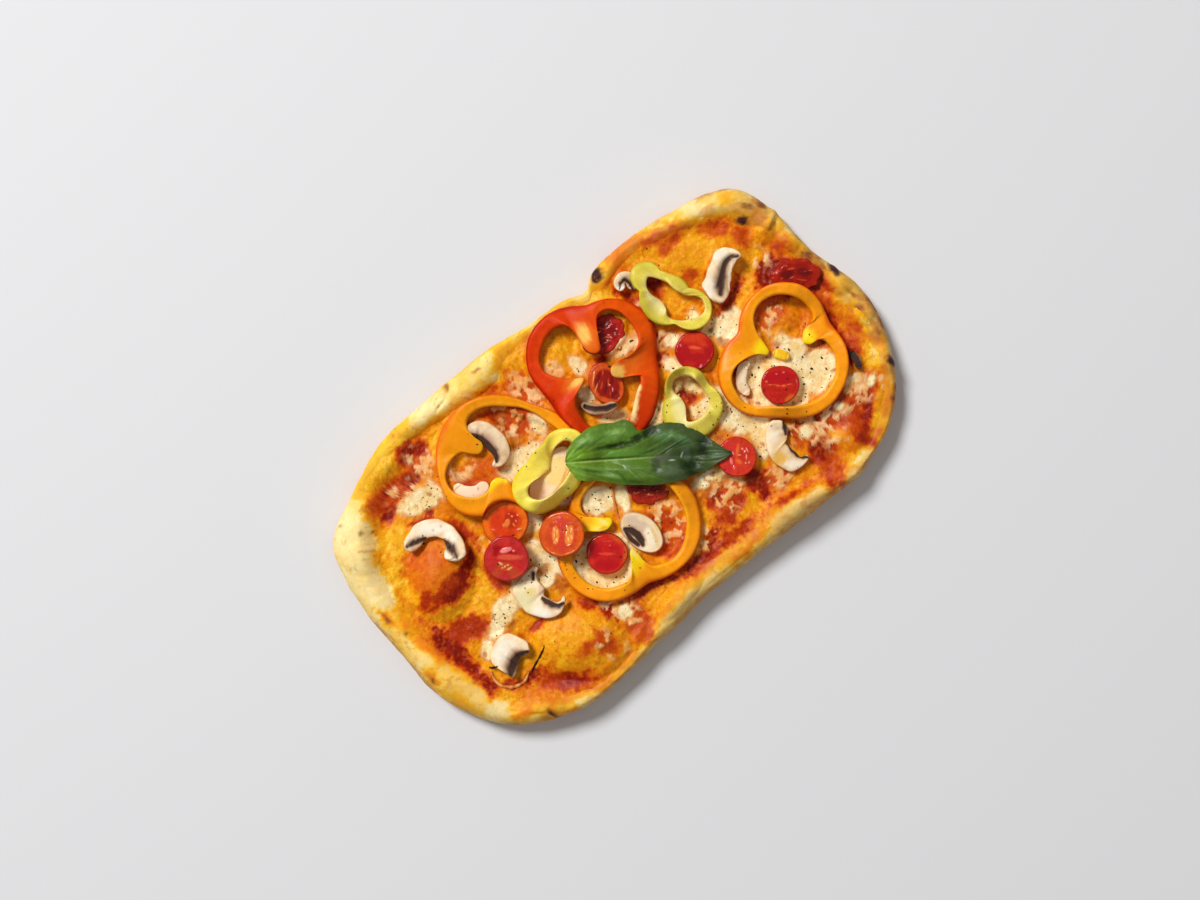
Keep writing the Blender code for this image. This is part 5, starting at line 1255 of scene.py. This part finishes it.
def make_topping(cheese, material):
    columns, rows = TOPPING_GRID
    u, v = np.meshgrid(np.linspace(-1, 1, columns), np.linspace(-1, 1, rows))
    wide = np.abs(u) > np.abs(v)
    reach = np.where(wide, u, v)
    safe = np.where(np.abs(reach) < 1e-9, 1e-9, reach)
    turn = np.where(wide, math.pi / 4 * v / safe, math.pi / 2 - math.pi / 4 * u / safe)
    bearing = np.arctan2(reach * np.sin(turn) * 0.58, reach * np.cos(turn))
    inner = topping_radius(bearing)
    radius = np.abs(reach) * (inner + 3.5)
    x = radius * np.cos(bearing)
    y = radius * np.sin(bearing)
    inside = inner - radius
    body = smoothstep((inside + 1.2 + 2.4 * layered_noise(x, y, 8, 3, SEED + 60)) / 12)
    body = np.where(np.abs(reach) > 0.999, 0.0, body)
    pools = 0.6 * value_noise(x, y, 16, SEED + 2) + 0.4 * value_noise(x, y, 8, SEED + 3)
    thickness = TOPPING + TOPPING_SWELL * pools
    base = dough_height(x, y) + GAP

    heat = heat_at(x, y, inside)
    fine = layered_noise(x, y, 2.6, 3, SEED + 63)
    pimples = smoothstep((value_noise(x, y, 1.7, SEED + 64) + 0.05) / 0.75)
    white = spots_cover(x, y, WHITES, 2.2, 2.4, SEED + 300)
    crumb_area = spots_cover(x, y, CRUMBS, 4.0, 2.4, SEED + 310) * (1 - white)
    crumb = crumb_area * smoothstep((layered_noise(x, y, 3.4, 2, SEED + 320) + 0.02) / 0.12)
    toast = spots_cover(x, y, TOASTED, 2.4, 1.6, SEED + 330)
    toast = np.maximum(toast, white * smoothstep((layered_noise(x, y, 7, 3, SEED + 335) - 0.4) / 0.12))
    sauce = smoothstep((heat - 0.64) / 0.14) * (1 - white) * (1 - crumb)
    golden = smoothstep((0.62 - heat) / 0.16) * (1 - white) * (1 - crumb)

    tint = heat_colour(np.clip(heat + 0.09 * fine * (1 - 0.4 * sauce) - 0.08 * golden * (pimples - 0.4),
                               0, 1))
    shade = smoothstep(0.5 + 0.85 * layered_noise(x, y, 5, 3, SEED + 321))
    tint = mix(tint, between(CRUMB_COLOURS, shade), 0.88 * crumb)
    shade = smoothstep(0.45 + 0.9 * layered_noise(x, y, 5, 4, SEED + 301))
    white_colour = between(WHITE_COLOURS, shade)
    veined = np.exp(-(layered_noise(x, y, 8, 3, SEED + 302) / 0.05) ** 2)
    white_colour = mix(white_colour, linear(WHITE_VEIN), 0.5 * veined)
    grains = smoothstep((value_noise(x, y, 1.5, SEED + 69) - 0.25) / 0.3)
    grains = grains * smoothstep((heat - 0.7) / 0.15)
    tint = mix(tint, linear(SAUCE_GRAIN), 0.45 * grains * (1 - crumb))
    tint = mix(tint, white_colour, white)
    tint = mix(tint, linear(WHITE_BORDER), 1.8 * white * (1 - white))
    shade = smoothstep(0.5 + 0.8 * fine)
    tint = mix(tint, between(TOAST_COLOURS, shade), 0.75 * toast)
    tint = mix(tint, linear(CHAR), spots_cover(x, y, CHARRED, 2.0, 1.4, SEED + 32))
    freckles = smoothstep((value_noise(x, y, 1.4, SEED + 67) - 0.55) / 0.2) * (1 - 0.85 * white)
    tint = dyed(tint, CHEESE_FRECKLE, 0.6 * freckles)
    # Cheese next to and under the slices is painted darker: painted shade where they meet, and oil that
    # gathers there
    ring = smoothstep(cheese.sample(cheese.near, x, y) * 2.5) * (1 - 0.6 * white)
    tint = dyed(tint, CHEESE_SHADE_AND_OIL_BESIDE, 0.5 * ring)

    lift = 0.6 * white + 0.5 * crumb - 0.4 * sauce
    height = base + thickness * body - 0.9 * (1 - body)
    height = height + body * (lift + 0.24 * fine * (1 - 0.5 * white) + 0.3 * pimples * golden
                              + 0.45 * layered_noise(x, y, 6, 2, SEED + 66))
    height = height + body * cheese.sample(cheese.rise, x, y)
    wet = 0.35 + 0.4 * sauce + 0.2 * golden - 0.1 * white + 0.2 * ring
    wet = wet + 0.35 * layered_noise(x, y, 7, 3, SEED + 68)
    points = np.stack([x, y, height], axis=2)
    return write_piece("sauce_and_cheese", points, grid_faces(rows, columns), tint, wet, material,
                       ("melted_topping",))


# Pepper rings

def ring_curves(centre, lobes, hole, bend):
    """Inner and outer edges of a pepper ring, and how pale the inner edge is."""
    flat = np.array([(*point, 0)[:3] for point in hole], float)
    walls = [number for number, point in enumerate(hole) if len(point) == 2]
    curve = spline(flat, CURVE_STEPS, True)
    curve = np.vstack([curve, curve[:1]])
    travelled = np.concatenate([[0.0], np.cumsum(np.hypot(*np.diff(curve[:, :2], axis=0).T))])
    total = travelled[-1]
    wall_at = travelled[np.array(walls) * CURVE_STEPS]
    off = flat[walls, :2] - centre
    bearing = np.arctan2(off[:, 1], off[:, 0])
    bearing = np.unwrap(np.append(bearing, bearing[0]))
    wanted = wall_at[0] + np.linspace(0, total, RING_STATIONS, endpoint=False)
    turn = np.interp(wanted, np.append(wall_at, total + wall_at[0]), bearing)
    inner = np.stack([np.interp(wanted % total, travelled, curve[:, axis]) for axis in (0, 1)], axis=1)
    pale = np.clip(np.interp(wanted % total, travelled, curve[:, 2]), 0, 1)
    reach = np.zeros(RING_STATIONS)
    for lobe_turn, offset, radius in lobes:
        away = turn - math.radians(lobe_turn)
        chord = np.maximum(radius ** 2 - (offset * np.sin(away)) ** 2, 1.0)
        reach = reach + np.maximum(offset * np.cos(away) + np.sqrt(chord), 1.0) ** RING_BLEND
    reach = reach ** (1 / RING_BLEND)
    outer = centre + np.stack([np.cos(turn), np.sin(turn)], axis=1) * reach[:, None]
    if bend:
        *middle, radius = bend
        off = outer - middle
        distance = np.hypot(off[:, 0], off[:, 1])[:, None]
        outer = middle + off * np.maximum(distance, radius) / distance
    return inner, outer, pale


def make_ring(name, materials):
    centre, lobes, height, hole, slot = RINGS[name]
    inner, outer, pale = ring_curves(centre, lobes, hole, RING_BENDS.get(name))
    width = np.hypot(*(outer - inner).T)
    rib = smoothstep((width / np.median(width) - 1.25) / 0.7)
    solid = node_solid(name)
    lines = []
    for share in (0.25, 0.75):
        middle = inner + (outer - inner) * share
        low = solid.heights(middle[:, 0], middle[:, 1], False)
        lines.append(soften_line(fill_line(low, True), 16, True))
    near = lines[0] - (lines[1] - lines[0]) * 0.5
    far = lines[1] + (lines[1] - lines[0]) * 0.5
    angle = np.linspace(0, 2 * math.pi, RING_SECTION, endpoint=False)
    across = squared(np.cos(angle), 0.62)
    up = squared(np.sin(angle), 0.62)
    share = (across + 1) / 2
    plan = inner[:, None] + (outer - inner)[:, None] * share[None, :, None]
    x = plan[..., 0]
    y = plan[..., 1]
    floor = near[:, None] + (far - near)[:, None] * share
    thin = 1 - 0.4 * rib[:, None] * (1 - share)
    z = floor + (up + 1) / 2 * height * thin
    leaf = node_solid("basil_leaf").heights(x, y, False)
    z = np.fmin(z, leaf - 1.2)
    z = z - 0.35 * np.exp(-((share - 0.45) / 0.22) ** 2) * (up > 0.5)
    points = with_height(plan, z)
    along = np.arange(RING_STATIONS)[:, None] * 0.6 + 0 * share
    u = x + 0.9 * z
    v = y - 0.7 * z
    seed = SEED + 200 + len(name)
    lumps = layered_noise(u, v, 7, 2, seed)
    calm = 1 - 0.95 * rib[:, None]
    relief = 0.24 * lumps + 0.1 * layered_noise(u, v, 2.2, 2, seed + 1)
    points = displaced(points, relief * calm, True)

    skin, face, wall_colour, tip = [linear(colour) for colour in RING_COLOURS[slot]]
    if slot == "pepper_red":
        lighter = smoothstep((x - 22) / 30)
        face = mix(face, linear(RED_FACE), lighter)
        skin = mix(skin, linear(RED_SKIN), lighter)
    tint = mix(face, wall_colour, smoothstep((0.4 - share + 0.15 * lumps) / 0.35) * 0.75)
    tint = mix(tint, skin, smoothstep((share - 0.8 + 0.06 * lumps) / 0.16))
    # The ring's underside is painted in the skin's colour and darker still: painted shade under the
    # ring
    below = smoothstep((-0.1 - up) / 0.6)
    tint = mix(tint, skin * 0.8, 0.6 * below + 0 * z)
    extent = smoothstep((0.62 * pale[:, None] - share + 0.06 * lumps) / 0.25)
    tint = mix(tint, tip, extent * smoothstep(4 * pale)[:, None])
    for number, (colour, strength, softness, spots) in enumerate(RING_MARKS.get(name, ())):
        cover = spots_cover(x, y, spots, softness, 0.8, seed + 20 + number)
        tint = mix(tint, linear(colour), strength * cover)
    streak = value_noise(along, share * 6, 2.0, seed + 2) * (1 - rib[:, None])
    tint = tint * (1 + 0.07 * streak + 0.08 * lumps)[..., None]
    wet = 0.6 + 0.3 * layered_noise(u, v, 5, 2, seed + 3)
    faces = grid_faces(RING_STATIONS, RING_SECTION, True, True)
    return write_piece(name + "_flesh", points, faces, tint, wet, materials[slot], (name,))


# Slices that lie flat

def add_marks(tint, relief, x, y, middle, marks, seed):
    """Soft ragged marks over the paint, some raised or sunk, placed as the camera sees them."""
    right, ahead = turned(x - middle[0], y - middle[1], CAMERA_TURN)
    for number, (colour, strength, softness, height, spots) in enumerate(marks):
        cover = strength * spots_cover(right, ahead, spots, softness, 0.4, seed + number, 0.3)
        tint = mix(tint, linear(colour), cover)
        relief = relief + height * cover
    return tint, relief


def disc_frame(centre, long_radius, short_radius, turn, height, solid, sunk=0.0):
    """A grid from the middle of the upper face over the edge to the middle of the underside.

    Gives the points, the share of the radius, the bearing and the share of the height."""
    top = np.linspace(0.02, 0.93, DISC_RINGS)
    bend = np.radians(np.linspace(90, -90, 15))
    side = 0.93 + 0.07 * np.cos(bend) ** 0.7
    below = np.linspace(0.9, 0.05, 6)
    share = np.concatenate([top, side, below])[:, None]
    up = np.concatenate([np.ones(len(top)), 0.5 + 0.5 * np.sin(bend), np.zeros(len(below))])[:, None]
    bearing = np.linspace(0, 2 * math.pi, DISC_AROUND, endpoint=False)[None, :]
    uneven = value_noise(np.cos(bearing) * 9 + centre[0], np.sin(bearing) * 9, 6 - 3 * sunk, SEED + 5)
    reach = 1 + (0.04 + 0.1 * sunk) * uneven
    along = np.cos(bearing) * share * reach * long_radius
    across = np.sin(bearing) * share * reach * short_radius
    off_x, off_y = turned(along, across, -turn)
    x = centre[0] + off_x
    y = centre[1] + off_y
    design = np.column_stack([solid.points[:, :2] - centre, np.ones(len(solid.points))])
    slope_x, slope_y, level = np.linalg.lstsq(design, solid.points[:, 2], rcond=None)[0]
    floor = level - height / 2 - 2.0 * sunk + slope_x * (x - centre[0]) + slope_y * (y - centre[1])
    z = floor + up * height
    return np.stack([x, y, z], axis=2), share + 0 * bearing, bearing + 0 * share, up + 0 * bearing


def write_closed(name, points, tint, wet, material, node):
    """A piece from a grid that wraps round, closed by a fan of triangles at each end."""
    rows, columns = points.shape[:2]
    ends = np.array([points[0].mean(axis=0), points[-1].mean(axis=0)])
    colours = np.array([tint[0].mean(axis=0), tint[-1].mean(axis=0)])
    wet = np.append(wet.ravel(), [wet[0].mean(), wet[-1].mean()])
    return write_piece(name, np.vstack([points.reshape(-1, 3), ends]), closed_faces(rows, columns),
                       np.vstack([tint.reshape(-1, 3), colours]), wet, material, (node,))


def make_tomato(name, materials):
    centre, long_radius, short_radius, turn, height = TOMATOES[name]
    seed = SEED + 300 + 10 * int(name.split("_")[1])
    sunk = float(name in SUNK_TOMATOES)
    points, share, bearing, up = disc_frame(centre, long_radius, short_radius, turn, height,
                                            node_solid(name), sunk)
    x = points[..., 0]
    y = points[..., 1]
    face = smoothstep((up - 0.9) / 0.1) * smoothstep((0.97 - share) / 0.06)
    heart, flesh, skin = [linear(colour) for colour in TOMATO_COLOURS[name]]
    local = layered_noise(x, y, 3.4, 3, seed)
    fine = layered_noise(x, y, 1.1, 2, seed + 1)
    rays = value_noise(np.cos(bearing) * 7, np.sin(bearing) * 7, 1.0, seed + 2)
    tint = mix(heart, flesh, smoothstep((share - 0.62 + 0.08 * local) / 0.16))
    tint = tint * (1 + 0.12 * local + 0.12 * rays + 0.1 * fine)[..., None]
    relief = 0.5 * (1 - share ** 2) + (0.12 + 0.4 * sunk) * local + 0.06 * rays * share
    tint, relief = add_marks(tint, relief, x, y, centre, TOMATO_MARKS[name], seed + 3)
    tint = mix(tint, skin, 0.9 * smoothstep((share - 0.9) / 0.05))
    relief = relief + 0.18 * (1 - sunk) * np.exp(-((share - 0.9) / 0.04) ** 2)
    points[..., 2] += relief * face
    wet = 0.75 - 0.25 * sunk + 0.3 * local
    return write_closed(name + "_slice", points, tint, wet, materials["tomato"], name)


# Mushrooms

def gill_depth(name, x, y):
    """How deep in the gills each place lies: 1 on their middle line, 0 at their edge, then below 0."""
    deep = np.full(np.shape(x), -1.0)
    for line in MUSHROOM_GILLS.get(name, ()):
        for start, end in zip(line, line[1:]):
            share, off = off_line(x, y, start, end)
            deep = np.maximum(deep, 1 - off / blend(start[2], end[2], share))
    return deep


def mushroom_paint(name, x, y, flesh_dark, along, seed):
    """Colour and relief of a cut mushroom, with fine fins in its gills."""
    local = layered_noise(x, y, 4, 3, seed)
    shade = smoothstep(0.5 + 0.7 * local)
    tint = blend(between(MUSHROOM_PALE, shade), between(MUSHROOM_DULL, shade), flesh_dark)
    relief = 0.12 * local
    middle, marks = MUSHROOM_MARKS.get(name, ((0, 0), ()))
    tint, relief = add_marks(tint, relief, x, y, middle, marks, seed + 1)
    deep = gill_depth(name, x, y)
    deep = deep + 0.16 * layered_noise(x, y, 3, 2, seed + 9)
    tint = mix(tint, linear(GILL_BORDER), 0.8 * smoothstep((deep + 0.55) / 0.9))
    tint = mix(tint, linear(GILL_DARK), 0.95 * smoothstep((deep - 0.05) / 0.5))
    sunk = smoothstep((deep - 0.1) * 1.6)
    fins = 0.5 + 0.5 * np.sin(along * 2 * math.pi / 0.9 + 3 * local)
    tint = tint * (1 - 0.3 * fins * sunk)[..., None]
    return tint, relief + (0.2 * fins - 0.9) * sunk


def band_edges(middle, half_width):
    """The two edges of a band round its middle line."""
    middle = resample(spline(middle, CURVE_STEPS, False), BAND_STATIONS, False)
    side = left_normals(middle, False) * half_width
    return middle + side, middle - side


def make_band(name, edges, ends, height, flesh_dark, materials, slot="mushroom"):
    """A flat slice between two edges, rounded off over a share of its length at each end."""
    left, right = [resample(spline(edge, CURVE_STEPS, False), BAND_STATIONS, False) for edge in edges]
    middle = (left + right) / 2
    seed = SEED + 400 + int(abs(middle[0, 0]))
    solid = node_solid(name)
    length = np.hypot(*np.diff(middle, axis=0).T).sum()
    share = np.linspace(0.01, 0.99, BAND_STATIONS)
    nearest = np.clip(np.minimum(share, 1 - share) / ends, 0, 1)
    taper = np.sqrt(1 - (1 - nearest) ** 2)
    normal = (left - right) / 2 * taper[:, None]
    core = fill_line(solid.heights(middle[:, 0], middle[:, 1], False), False)
    lines = []
    for side in (-0.45, 0.45):
        place = middle + normal * side
        low = solid.heights(place[:, 0], place[:, 1], False)
        lines.append(soften_line(np.where(np.isnan(low), core, low), 4, False))
    angle = np.linspace(0, 2 * math.pi, BAND_SECTION, endpoint=False)
    across = squared(np.cos(angle), 0.6)[None, :]
    up = squared(np.sin(angle), 0.5)[None, :]
    along = np.linspace(0, length, BAND_STATIONS)[:, None] + 0 * across
    ragged = 1 + 0.08 * value_noise(along, np.sign(across) * 20 + 0 * along, 3.5, seed)
    plan = middle[:, None] + normal[:, None] * (across * ragged)[..., None]
    x = plan[..., 0]
    y = plan[..., 1]
    floor = (lines[0] + lines[1])[:, None] / 2 + (lines[1] - lines[0])[:, None] * across / 0.9 / 2 * 0.8
    z = floor + (up + 1) / 2 * height * (0.45 + 0.55 * taper)[:, None]
    if slot == "mushroom":
        tint, relief = mushroom_paint(name, x, y, flesh_dark, along, seed)
        tint = dyed(tint, MUSHROOM_SKIN, smoothstep((np.abs(across) - 0.9) / 0.1) + 0 * along)
        wet = 0.25 + 0 * along
    else:
        local = layered_noise(x, y, 3, 2, seed)
        tint = between(PEPPER_BIT_COLOURS, smoothstep(0.5 + 0.8 * local))
        relief = 0.15 * local
        wet = 0.8 + 0 * along
    face = smoothstep((up - 0.3) / 0.4) + 0 * along
    points = with_height(plan, z + relief * face)
    points = displaced(points, 0.15 * layered_noise(x + z, y - z, 3, 2, seed + 1), True)
    return write_closed(name + "_slice", points, tint, wet, materials[slot], name)


def make_mushroom_disc(name, materials):
    centre, long_radius, short_radius, turn, height = MUSHROOM_DISCS[name]
    seed = SEED + 500 + int(long_radius)
    points, share, bearing, up = disc_frame(centre, long_radius, short_radius, turn, height,
                                            node_solid(name))
    face = smoothstep((up - 0.9) / 0.1)
    along = bearing * 8
    tint, relief = mushroom_paint(name, points[..., 0], points[..., 1], 0.0, along, seed)
    tint = mix(tint, linear(MUSHROOM_RIM), 0.7 * smoothstep((share - 0.92) / 0.05))
    points[..., 2] += relief * face
    return write_closed(name + "_slice", points, tint, 0.35 + 0 * share, materials["mushroom"],
                        name)


# Basil

def make_leaf(materials):
    base = np.asarray(LEAF_BASE, float)
    axis = np.asarray(LEAF_TIP) - base
    length = np.hypot(*axis)
    axis = axis / length
    side = np.array([-axis[1], axis[0]])
    share = np.linspace(0, 1, LEAF_GRID[0])[:, None]
    lean = np.linspace(-1, 1, LEAF_GRID[1])[None, :]
    left = np.interp(share, *spline(LEAF_LEFT, 8, False).T)
    right = np.interp(share, *spline(LEAF_RIGHT, 8, False).T)
    width = np.where(lean > 0, left, right)
    uneven = 1 + 0.03 * value_noise(share * length, np.sign(lean) * 30, 4.0, SEED + 602) * lean ** 6
    reach = width * lean * uneven
    plan = base + axis * (share * length)[..., None] + side * reach[..., None]
    x = plan[..., 0]
    y = plan[..., 1]
    top = node_solid("basil_leaf").heights(x, y, True)
    top = np.array([fill_line(row, False) if (~np.isnan(row)).any() else row for row in top])
    top = np.array([fill_line(column, False) for column in top.T]).T
    for _ in range(LEAF_SOFTENING):
        padded = np.pad(top, 1, mode="edge")
        top = (padded[:-2, 1:-1] + padded[2:, 1:-1] + padded[1:-1, :-2] + padded[1:-1, 2:]
               + 2 * top) / 6
    spread = np.abs(lean)
    local = layered_noise(x, y, 9, 3, SEED + 600)
    bright = between(LEAF_BRIGHT, smoothstep(share * 2.6 + 0 * lean))
    tint = mix(bright, linear(LEAF_DARK), smoothstep((share - 0.4) / 0.3) + 0 * lean)
    path = share * 5.0 - 2.2 * spread ** 0.8 + 0.3 * (lean > 0) + 0.12 * local
    off = np.abs((path % 1.0) - 0.5) * 2
    vein = smoothstep((off - 0.9) / 0.09) * smoothstep((0.9 - spread) / 0.2) * smoothstep(spread * 6)
    tint = mix(tint, linear(LEAF_VEIN), 0.16 * vein)
    relief = 0.4 * np.cos(off * math.pi / 2) * np.sin(spread * math.pi) ** 0.7 - 0.15 * vein
    tint, relief = add_marks(tint, relief, x, y, base, LEAF_MARKS, SEED + 610)
    fading = smoothstep((0.62 - share) / 0.25)
    rib = np.exp(-(reach / 0.45) ** 2) * fading
    shadow = np.exp(-((reach - 0.9) / 0.5) ** 2) * fading * smoothstep(share * 8)
    tint = mix(tint, linear(LEAF_SHADOW), 0.7 * shadow)
    tint = mix(tint, linear(LEAF_RIB), 0.75 * rib)
    tint = tint * (1 + 0.16 * local + 0.1 * layered_noise(x, y, 2.2, 3, SEED + 603))[..., None]
    curl = 1.2 * spread ** 2.5 * value_noise(share * 100 + 0 * lean, lean * 9, 14, SEED + 601)
    z = top + relief + 0.5 * local - 0.4 * rib - 0.4 * shadow + curl
    points = with_height(plan, z)
    lower = displaced(points, np.full(z.shape, 0.5), False)
    if lower[..., 2].mean() > points[..., 2].mean():
        lower = displaced(points, np.full(z.shape, -0.5), False)
    rows, columns = z.shape
    count = rows * columns
    faces = grid_faces(rows, columns)
    faces += [[corner + count for corner in face[::-1]] for face in grid_faces(rows, columns)]
    border = ([(row, 0) for row in range(rows)] + [(rows - 1, column) for column in range(1, columns)]
              + [(row, columns - 1) for row in range(rows - 2, -1, -1)]
              + [(0, column) for column in range(columns - 2, 0, -1)])
    border = [row * columns + column for row, column in border]
    faces += [(a, b, b + count, a + count) for a, b in zip(border, border[1:] + border[:1])]
    both = np.concatenate([points.reshape(-1, 3), lower.reshape(-1, 3)])
    tints = np.concatenate([tint.reshape(-1, 3), tint.reshape(-1, 3) * 1.3])
    return write_piece("basil", both, faces, tints, 0.5, materials["basil"], ("basil_leaf",))


# Small things that lie on top

def surface_at(solids, x, y):
    """Height of the highest finished piece at each place."""
    heights = [solid.heights(x, y, True) for solid in solids]
    return np.nanmax(np.array(heights), axis=0)


def make_tube(name, line, radius, colours, solids, material, slot, seed):
    """A thin uneven strand that lies on the surface along a line."""
    plan = resample(spline(line, 10, False), TUBE_STATIONS, False)
    ground = surface_at(solids, plan[:, 0], plan[:, 1])
    ground = soften_line(ground, 2, False) + 0.25 * radius
    share = np.linspace(0, 1, TUBE_STATIONS)
    taper = radius * (0.4 + 0.6 * np.sin((0.05 + 0.9 * share) * math.pi) ** 0.6)
    taper = taper * (1 + 0.25 * value_noise(plan[:, 0], plan[:, 1], 1.6, seed))
    angle = np.linspace(0, 2 * math.pi, TUBE_SECTION, endpoint=False)
    normal = left_normals(plan, False)
    rings = plan[:, None] + normal[:, None] * (np.cos(angle) * taper[:, None])[..., None]
    z = ground[:, None] + np.sin(angle) * taper[:, None]
    points = with_height(rings, z).reshape(-1, 3)
    shade = smoothstep(0.5 + layered_noise(points[:, 0], points[:, 1], 2, 2, seed + 1))
    faces = [list(face) for face in grid_faces(TUBE_STATIONS, TUBE_SECTION, wrap_columns=True)]
    last = (TUBE_STATIONS - 1) * TUBE_SECTION
    faces += [list(range(TUBE_SECTION))[::-1], list(range(last, last + TUBE_SECTION))]
    return write_piece(name, points, faces, between(colours, shade), 0.5, material)


def scatter_herbs(random):
    """Places for fine herb flakes: most on the white cheese, some anywhere inside the rim."""
    areas = np.array([spot[2] * spot[3] for spot in WHITES], float)
    chosen = random.choice(len(WHITES), HERB_SCATTER, p=areas / areas.sum())
    places = []
    for number in chosen:
        at_x, at_y, long_radius, short_radius, *turn = WHITES[number]
        reach = math.sqrt(random.uniform(0, 1))
        way = random.uniform(0, 2 * math.pi)
        along = reach * math.cos(way) * long_radius
        across = reach * math.sin(way) * short_radius
        off_x, off_y = turned(along, across, -sum(turn))
        places.append((at_x + off_x, at_y + off_y))
    for _ in range(HERB_STRAYS):
        places.append((random.uniform(-135, 135), random.uniform(-72, 72)))
    return places


def make_flakes(name, places, sizes, colours, solids, material, seed, plump=0.35):
    """One mesh of many small flat flakes that lie at odd angles on the surface."""
    random = np.random.default_rng(seed)
    places = np.asarray(places, float)
    z = surface_at(solids, places[:, 0], places[:, 1])
    points = []
    faces = []
    tints = []
    for (x, y), height in zip(places, z):
        if np.isnan(height):
            continue
        first = len(points)
        long_half = random.uniform(*sizes) / 2
        short_half = long_half * random.uniform(0.45, 0.8)
        turn = random.uniform(0, 2 * math.pi)
        tilt_x, tilt_y = random.uniform(-0.3, 0.3, 2)
        colour = between(colours, random.uniform(0, 1))
        for step in range(FLAKE_SIDES):
            angle = step / FLAKE_SIDES * 2 * math.pi
            wobble = random.uniform(0.75, 1.15)
            local_x = math.cos(angle) * long_half * wobble
            local_y = math.sin(angle) * short_half * wobble
            point_x, point_y = turned(local_x, local_y, -math.degrees(turn))
            lift = tilt_x * point_x + tilt_y * point_y
            points.append((x + point_x, y + point_y, height + lift + 0.05))
            # painted shade: the flake's rim is darker
            tints.append(colour * 0.8)
        points.append((x, y, height + plump * long_half + 0.1))
        points.append((x, y, height - 0.25))
        # painted light: the raised middle is lighter
        tints += [colour * 1.15, colour]
        for step in range(FLAKE_SIDES):
            after = (step + 1) % FLAKE_SIDES
            faces.append([first + step, first + after, first + FLAKE_SIDES])
            faces.append([first + after, first + step, first + FLAKE_SIDES + 1])
    return write_piece(name, points, faces, tints, 0.2, material)


# Floor, light and camera

def make_stage():
    floor_mesh = bpy.data.meshes.new("floor")
    reach = FLOOR_REACH * MM
    floor_mesh.from_pydata([(-reach, -reach, 0), (reach, -reach, 0), (reach, reach, 0),
                            (-reach, reach, 0)], [], [(0, 1, 2, 3)])
    material = bpy.data.materials.new("floor")
    material.use_nodes = True
    shader = material.node_tree.nodes["Principled BSDF"]
    shader.inputs["Base Color"].default_value = (*linear(FLOOR_COLOUR), 1.0)
    shader.inputs["Roughness"].default_value = 0.9
    floor_mesh.materials.append(material)
    add_object("floor", floor_mesh)


def make_lamp(name, place, size, power):
    light = bpy.data.lights.new(name, "AREA")
    light.shape = "DISK"
    light.size = size
    light.energy = power
    lamp = add_object(name, light)
    lamp.location = Vector(place) * MM
    lamp.rotation_euler = (-Vector(place)).to_track_quat("-Z", "Y").to_euler()


def make_camera():
    data = bpy.data.cameras.new("camera")
    data.lens = CAMERA_LENS
    camera = add_object("camera", data)
    camera.location = Vector(CAMERA_AT) * MM
    camera.rotation_euler = (0.0, 0.0, math.radians(CAMERA_TURN))
    bpy.context.scene.camera = camera


def make_world():
    world = bpy.data.worlds.new("studio")
    world.use_nodes = True
    background = world.node_tree.nodes["Background"]
    background.inputs["Color"].default_value = WORLD_COLOUR
    background.inputs["Strength"].default_value = WORLD_STRENGTH
    bpy.context.scene.world = world


def main():
    bpy.context.scene.view_settings.view_transform = "Standard"
    make_stage()
    make_lamp("key", KEY_AT, KEY_SIZE, KEY_POWER)
    make_lamp("fill", FILL_AT, FILL_SIZE, FILL_POWER)
    make_world()
    make_camera()
    materials = {slot: surface_material(*settings) for slot, settings in MATERIALS.items()}
    make_dough(materials["baked_dough"])
    made = [make_topping(CheeseMap(), materials["melted_topping"])]
    made += [make_ring(name, materials) for name in RINGS]
    made += [make_tomato(name, materials) for name in TOMATOES]
    for name, (middle, half_width, height, dark) in MUSHROOM_BANDS.items():
        made.append(make_band(name, band_edges(middle, half_width), 0.3, height, dark, materials))
    for name, (outer, inner, height, dark) in MUSHROOM_SLICES.items():
        made.append(make_band(name, (outer, inner), 0.06, height, dark, materials))
    made += [make_mushroom_disc(name, materials) for name in MUSHROOM_DISCS]
    middle, half_width, height = PEPPER_BIT
    made.append(make_band("pepper_bit", band_edges(middle, half_width), 0.3, height, 0.0, materials,
                          "chilli_yellow"))
    make_leaf(materials)

    solids = [Solid(piece.data) for piece in made]
    random = np.random.default_rng(SEED + 700)
    green = materials["basil"]
    cooked = materials["melted_topping"]
    make_flakes("herbs", HERBS, HERB_SIZES, HERB_COLOURS, solids, green, SEED + 701)
    make_flakes("fine_herbs", scatter_herbs(random), FINE_HERB_SIZES, FINE_HERB_COLOURS, solids, green,
                SEED + 703)
    make_flakes("chilli_seeds", SEEDS, SEED_SIZES, SEED_COLOURS, solids, materials["chilli_yellow"],
                SEED + 702, 0.5)
    for number, (line, radius) in enumerate(THREADS):
        make_tube("burnt_thread_%d" % (number + 1), line, radius, THREAD_COLOURS, solids, cooked,
                  "melted_topping", SEED + 710 + number)
    make_tube("cheese_curl", *CURL, CURL_COLOURS, solids, cooked, "melted_topping", SEED + 720)
    make_tube("pepper_septum", *SEPTUM, SEPTUM_COLOURS, solids, materials["pepper_orange"],
              "pepper_orange", SEED + 721)


main()
